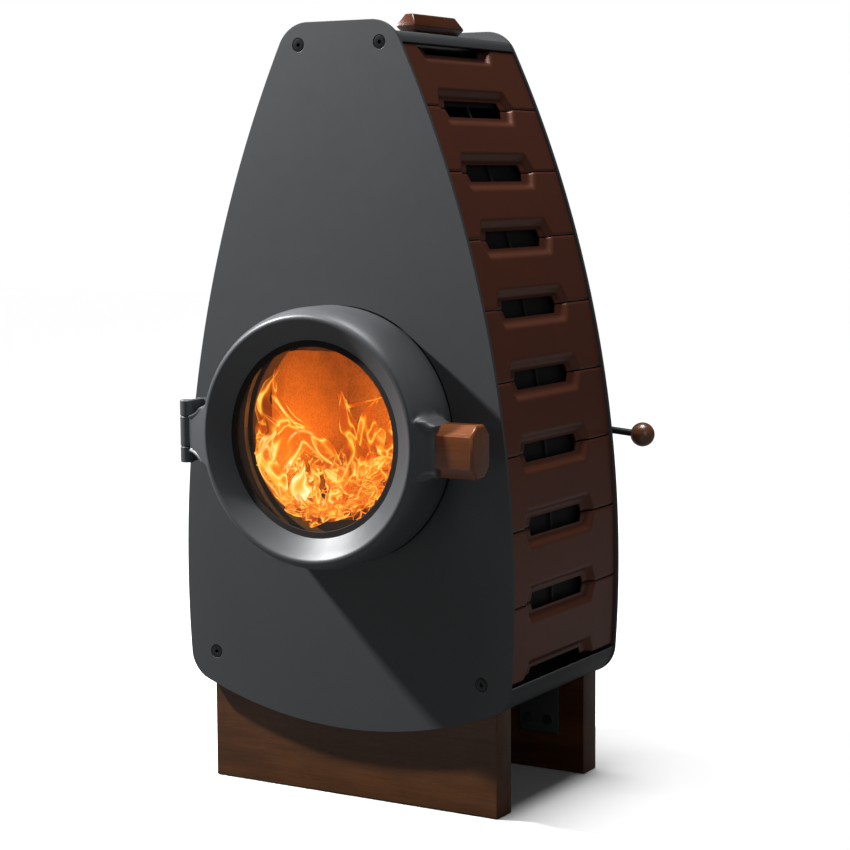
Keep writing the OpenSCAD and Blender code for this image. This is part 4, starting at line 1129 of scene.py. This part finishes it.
def door_casting(name, steps=720):
    front_h, rim_r, side_h, crown = 0.104, 0.184, 0.060, 0.044
    turn = np.linspace(0, 2 * np.pi, steps, endpoint=False)
    neck_side = np.cos(turn) >= 0

    def out(d):
        neck = bar_outline(turn, ring_r - d, 0.032 - d, 0.042 - d, 0.042 + d, 0.2190 - d)
        lug = bar_outline(np.pi - turn, ring_r - d, 0.0230 - d, 0.0315 - d, 0.060 + d, 0.2365 - d)
        return np.where(neck_side, neck, lug)

    share = np.clip((out(0.0) - ring_r) / 0.010, 0, 1)
    share = share * share * (3 - 2 * share)
    fall = np.where(neck_side, (front_h - 0.0885) / 0.035, (front_h - 0.072) / 0.052)
    back = np.where(neck_side, 0.040, 0.030)
    round_r = np.where(neck_side, 0.013, 0.005)
    ones = np.ones(steps)
    rows = [(r * ones, h * ones) for r, h in ((0.176, -0.002), (0.176, 0.008), (0.1905, 0.014), (0.1905, 0.060),
                                              (0.176, 0.066),
                                              (0.176, 0.070), (0.161, 0.070), (0.161, 0.080), (0.1508, 0.080),
                                              (0.1500, 0.0804),
                                              (0.1502, 0.0812), (0.157, 0.0862), (0.164, 0.0912), (0.171, 0.0962),
                                              (0.1778, 0.1012),
                                              (0.1790, 0.1022), (0.1806, 0.1034), (0.1824, 0.1040), (0.1840, 0.1040))]

    def front_of(r):
        return front_h - fall * np.maximum(r - rim_r, 0.0)

    base, bar = [], []
    for i in range(1, 25):
        a = math.radians(90 - 90 * i / 24)
        base.append(((rim_r + (ring_r - rim_r) * math.cos(a)) * ones, (side_h + crown * math.sin(a)) * ones))
    for i in range(1, 13):
        base.append((ring_r * ones, (side_h - 0.038 * i / 12) * ones))
    inner_edge = out(round_r)
    for i in range(1, 13):
        r = rim_r + (inner_edge - rim_r) * i / 12
        bar.append((r, front_of(r)))
    for i in range(1, 9):
        a = math.radians(90 - 90 * i / 8)
        bar.append((out(round_r * (1 - math.cos(a))), front_of(inner_edge) - round_r * (1 - math.sin(a))))
    side_top = bar[-1][1]
    for i in range(1, 7):
        bar.append((out(0.0), side_top + (back + 0.005 - side_top) * i / 6))
    for i in range(1, 5):
        a = math.radians(90 * i / 4)
        bar.append((out(0.005 * (1 - math.cos(a))), back + 0.005 * (1 - math.sin(a))))
    for i in range(1, 7):
        bar.append((out(0.005) + (ring_r - out(0.005)) * i / 6, back * (1 - i / 6) + 0.022 * i / 6))
    for (br, bh), (wr, wh) in zip(base, bar):
        rows.append((br * (1 - share) + wr * share, bh * (1 - share) + wh * share))
    rows += [(r * ones, h * ones) for r, h in ((0.1975, 0.008), (0.1955, 0.0), (0.1945, -0.002), (0.190, -0.002),
                                               (0.190, 0.005),
                                              (0.180, 0.005), (0.180, -0.002))]
    grid_x = np.stack([r * np.cos(turn) for r, h in rows], axis=1) + door_mid.x
    grid_z = np.stack([r * np.sin(turn) for r, h in rows], axis=1) + door_mid.z
    grid_y = front_y - np.stack([h for r, h in rows], axis=1)
    verts = np.stack([grid_x, grid_y, grid_z], axis=2).reshape(-1, 3)
    n = len(rows)
    faces = [(i * n + k, i * n + (k + 1) % n, (i + 1) % steps * n + (k + 1) % n,
              (i + 1) % steps * n + k) for i in range(steps) for k in range(n)]
    mesh = bpy.data.meshes.new(name)
    mesh.from_pydata(verts.tolist(), [], faces)
    outward(mesh)
    soften(mesh, 40)
    return add_object(name, mesh)


lug_low, lug_high = hinge_low.z + knuckle_h + 0.0006, hinge_high.z - knuckle_h - 0.0006
barrel = lathe("lug_barrel", [(0.00406, lug_low), (barrel_r - 0.0012, lug_low), (barrel_r, lug_low + 0.0012),
                              (barrel_r, lug_high - 0.0012),
                              (barrel_r - 0.0012, lug_high), (0.00406, lug_high)], 64, "Z", (hinge_x, pin_y, 0), True)
web = blocks("lug_web", [((hinge_x + 0.004, pin_y - 0.0075, lug_low + 0.0008),
                          (-0.196, pin_y + 0.0075, lug_high - 0.0008))], 0, 0.0012)
finish_piece(joined("door_casting", [door_casting("ring_casting"), web, barrel]), cast_grey, "door", "cast_paint",
             "door_ring")


# ---------------------------------------------------------------------------
# Glazing: a disc of ceramic glass between woven gaskets, clamped from behind
# by a steel ring and eight screws. A rope seal runs in the ring's channel.
# ---------------------------------------------------------------------------
def woven(name, color, scale):
    material, tree, shader = new_material(name)
    place = tree.nodes.new("ShaderNodeTexCoord").outputs["Object"]
    thread = put(tree, "ShaderNodeTexVoronoi", {"Vector": place, "Scale": scale}).outputs["Distance"]
    fluff = noise(tree, place, scale * 0.4, 3.0, 0.6)
    tree.links.new(blended(tree, ranged(tree, maths(tree, "MULTIPLY", thread, fluff), 0.05, 0.4, 0.0, 1.0),
                           (*color, 1),
                           tuple(2.2 * c for c in color) + (1,)), shader.inputs["Base Color"])
    tree.links.new(ranged(tree, fluff, 0.3, 0.7, 0.75, 0.95), shader.inputs["Roughness"])
    relief = put(tree, "ShaderNodeBump", {"Height": thread, "Strength": 0.6, "Distance": 0.0006})
    tree.links.new(relief.outputs["Normal"], shader.inputs["Normal"])
    return material


glass, tree, shader = new_material("ceramic_glass")
shader.inputs["Transmission Weight"].default_value = 1.0
shader.inputs["Metallic"].default_value = 0.0
shader.inputs["IOR"].default_value = 1.5
place = tree.nodes.new("ShaderNodeTexCoord").outputs["Object"]
haze = noise(tree, place, 11.0, 4.0, 0.6)
tree.links.new(ranged(tree, haze, 0.55, 0.85, 0.0, 0.015), shader.inputs["Roughness"])
tree.links.new(blended(tree, ranged(tree, haze, 0.4, 0.8, 0.0, 1.0), (1.0, 0.985, 0.96, 1), (0.95, 0.90, 0.84, 1)),
               shader.inputs["Base Color"])
glass_y0, glass_y1 = glass_low.y, glass_high.y
pane = lathe("pane", [(0.00001, glass_y0), (0.1588, glass_y0), (0.160, glass_y0 + 0.0012), (0.160, glass_y1 - 0.0012),
                      (0.1588, glass_y1),
                      (0.00001, glass_y1)], 160, "Y", (0, 0, door_mid.z))
finish_piece(pane, glass, "door", "glass", "door_glass")
gasket_black = woven("gasket_weave", (0.010, 0.007, 0.006), 620.0)
seal_low, seal_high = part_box("glass_seal")
gasket = lathe("gasket", [(0.1405, glass_y0 - 0.0001), (0.1400, glass_y0 - 0.0008), (0.1408, seal_low.y),
                          (0.160, seal_low.y), (0.160, glass_y0 - 0.0001)],
               160, "Y", (0, 0, door_mid.z), True)
inner_gasket = lathe("inner_gasket", [(0.1500, glass_y1 + 0.0001), (0.160, glass_y1 + 0.0001), (0.160, seal_high.y),
                                      (0.1505, seal_high.y)],
                     160, "Y", (0, 0, door_mid.z), True)
finish_piece(joined("glazing_gasket", [gasket, inner_gasket]), gasket_black, "door", "seal", "glass_seal")
dress("glass_retainer", bare_steel)
dress("retainer_screws", bare_steel)
dress("door_seal", woven("rope_weave", (0.045, 0.044, 0.043), 420.0))


# ---------------------------------------------------------------------------
# Grip: a chamfered block of oiled hardwood on the ring's neck, held by one
# bolt driven from inside the ring.
# ---------------------------------------------------------------------------
def grip_block(name, low, high, cut, ease):
    """An eight-sided bar along X with its end at high X eased."""
    sides = [(low.y, low.z + cut), (low.y, high.z - cut), (low.y + cut, high.z), (high.y - cut, high.z),
             (high.y, high.z - cut), (high.y, low.z + cut), (high.y - cut, low.z), (low.y + cut, low.z)]
    solid = bmesh.new()
    ends = [[solid.verts.new((x, y, z)) for y, z in sides] for x in (low.x, high.x)]
    for i in range(8):
        solid.faces.new((ends[0][i], ends[0][(i + 1) % 8], ends[1][(i + 1) % 8], ends[1][i]))
    solid.faces.new(reversed(ends[0]))
    solid.faces.new(ends[1])
    tips = [e for e in solid.edges if abs(e.verts[0].co.x - high.x) < 1e-6 and abs(e.verts[1].co.x - high.x) < 1e-6]
    bmesh.ops.bevel(solid, geom=tips, offset=ease, segments=5, profile=0.5, affect="EDGES")
    along = [e for e in solid.edges if abs(e.verts[0].co.x - e.verts[1].co.x) > 0.02]
    bmesh.ops.bevel(solid, geom=along, offset=0.0016, segments=3, profile=0.5, affect="EDGES")
    return solid_piece(name, solid, 40)


grip_low, grip_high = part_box("door_grip")
finish_piece(grip_block("wood_grip", grip_low, grip_high, 0.016, 0.005), wood_grip, "door", "wood", "door_grip")
dress("grip_bolt", bare_steel)


# ---------------------------------------------------------------------------
# Air lever: a black steel rod on a turned hub, with a wooden ball screwed on
# its end. Its shaft turns in a brass bush and moves the air valve's plate.
# ---------------------------------------------------------------------------
knob_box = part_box("air_knob")
lever_y = (knob_box[0].y + knob_box[1].y) / 2
knob_r = (knob_box[1].y - knob_box[0].y) / 2
lever_drop = math.radians(4.65)
lever_len = (middle(knob_box).x - lever_mid.x) / math.cos(lever_drop)
lever_paint = grained("lever_paint", (0.028, 0.028, 0.030), 0.30, metal=0.3, cloud=0.1, cloud_scale=20.0,
                      grain_scale=1500.0, dust=0.0)
hub = lathe("hub", [(0.00602, lever_y - 0.008), (0.0188, lever_y - 0.008), (0.020, lever_y - 0.0068),
                    (0.020, lever_y + 0.0068),
                    (0.0188, lever_y + 0.008), (0.0001, lever_y + 0.008), (0.0001, lever_y + 0.0052),
                    (0.00602, lever_y + 0.0052)],
            96, "Y", (lever_mid.x, 0, lever_mid.z), True)
rod = lathe("rod", [(0.0001, 0.016), (0.0056, 0.016), (0.0056, lever_len - 0.012), (0.0001, lever_len - 0.012)], 48,
            "X", (0, 0, 0), True)
ball = lathe("ball", [(0.0057, -math.sqrt(knob_r ** 2 - 0.0057 ** 2) + 0.0002)]
             + [(knob_r * math.sin(a), -knob_r * math.cos(a)) for a in np.linspace(0.34, math.pi - 0.0001, 48)]
             + [(0.0001, knob_r)] + [(0.0001, -0.012), (0.0057, -0.012)], 96, "X", (lever_len, 0, 0), True)
swing = Matrix.Translation((lever_mid.x, lever_y, lever_mid.z)) @ Matrix.Rotation(lever_drop, 4, "Y")
for piece in (rod, ball):
    piece.data.transform(swing)
    piece.data.update()
finish_piece(joined("lever_rod", [hub, rod]), lever_paint, "lever", "lever_paint", "air_lever")
finish_piece(ball, oiled("oiled_wood_ball", (0.110, 0.040, 0.018), (0.260, 0.105, 0.050), 0.28, seed=12.3, coat=0.6),
             "lever", "wood", "air_knob")
dress("shaft_bush", grained("turned_brass", (0.60, 0.42, 0.16), 0.34, metal=1.0, cloud=0.2, cloud_scale=60.0,
                            grain_scale=900.0, dust=0.0))
dress("air_valve", bare_steel)


# ---------------------------------------------------------------------------
# Studio: a pale plain floor, one small key lamp high on the left for the
# door's clear shadow, a weak fill, a soft overhead sun and the fire's glow.
# ---------------------------------------------------------------------------
camera_data = bpy.data.cameras.new("camera")
camera_data.lens = 92.85
camera_data.sensor_width = 36.0
camera_data.clip_end = 50
camera = bpy.data.objects.new("camera", camera_data)
bpy.context.scene.collection.objects.link(camera)
yaw, tilt, roll = math.radians(30.58), math.radians(6.47), math.radians(-0.31)
right = Vector((math.cos(yaw), math.sin(yaw), 0))
back = Vector((math.sin(yaw) * math.cos(tilt), -math.cos(yaw) * math.cos(tilt), math.sin(tilt)))
up = back.cross(right)
cam_x = right * math.cos(roll) + up * math.sin(roll)
cam_y = up * math.cos(roll) - right * math.sin(roll)
stand = (1.8098, -2.9930, 0.9665)
camera.matrix_world = Matrix([(cam_x[i], cam_y[i], back[i], stand[i]) for i in range(3)] + [(0, 0, 0, 1)])
bpy.context.scene.camera = camera
floor_mesh = bpy.data.meshes.new("floor")
floor_mesh.from_pydata([(-12, -12, -0.001), (12, -12, -0.001), (12, 12, -0.001), (-12, 12, -0.001)], [],
                       [(0, 1, 2, 3)])
floor = add_object("floor", floor_mesh)
floor_paint, tree, shader = new_material("floor_paint")
seen_direct = tree.nodes.new("ShaderNodeLightPath").outputs["Is Camera Ray"]
tree.links.new(blended(tree, seen_direct, (0.10, 0.10, 0.10, 1), (0.95, 0.95, 0.95, 1)), shader.inputs["Base Color"])
shader.inputs["Roughness"].default_value = 0.95
shader.inputs["Specular IOR Level"].default_value = 0.0
floor_mesh.materials.append(floor_paint)


def softbox(name, place, aim, size, power, color=(1, 1, 1)):
    data = bpy.data.lights.new(name, "AREA")
    data.shape = "RECTANGLE"
    data.size, data.size_y = size
    data.energy = power
    data.color = color
    light = bpy.data.objects.new(name, data)
    bpy.context.scene.collection.objects.link(light)
    turned = (Vector(aim) - Vector(place)).to_track_quat("-Z", "Y").to_matrix().to_4x4()
    light.matrix_world = Matrix.Translation(place) @ turned
    return light


softbox("key", (-2.3, -0.95, 2.6), (0.0, -0.2, 0.6), (0.16, 0.16), 205)
softbox("fill", (2.6, -1.6, 1.4), (0.1, 0, 0.6), (1.4, 1.8), 5)
sun = bpy.data.lights.new("sun", "SUN")
sun.energy = 3.2
sun.angle = 0.5
sun_object = bpy.data.objects.new("sun", sun)
bpy.context.scene.collection.objects.link(sun_object)
for place, power in (((-0.03, -0.06, 0.50), 3.4), ((0.05, 0.0, 0.60), 2.2), ((-0.06, -0.120, 0.56), 0.9)):
    glow = bpy.data.lights.new("glow", "POINT")
    glow.energy = power
    glow.color = (1.0, 0.25, 0.012)
    glow.shadow_soft_size = 0.03
    glow_object = bpy.data.objects.new("glow", glow)
    glow_object.location = place
    glow_object.visible_camera = False
    glow_object.visible_transmission = False
    glow_object.visible_glossy = False
    bpy.context.scene.collection.objects.link(glow_object)
world = bpy.data.worlds.new("room")
bpy.context.scene.world = world
world.use_nodes = True
sky = world.node_tree
seen = put(sky, "ShaderNodeBackground", {"Color": (1, 1, 1, 1), "Strength": 1.0})
around = put(sky, "ShaderNodeBackground", {"Color": (0.9, 0.95, 1.0, 1), "Strength": 0.03})
pick = sky.nodes.new("ShaderNodeMixShader")
sky.links.new(sky.nodes.new("ShaderNodeLightPath").outputs["Is Camera Ray"], pick.inputs[0])
sky.links.new(around.outputs[0], pick.inputs[1])
sky.links.new(seen.outputs[0], pick.inputs[2])
sky.links.new(pick.outputs[0], sky.nodes["World Output"].inputs["Surface"])
bpy.context.scene.view_settings.view_transform = "Standard"
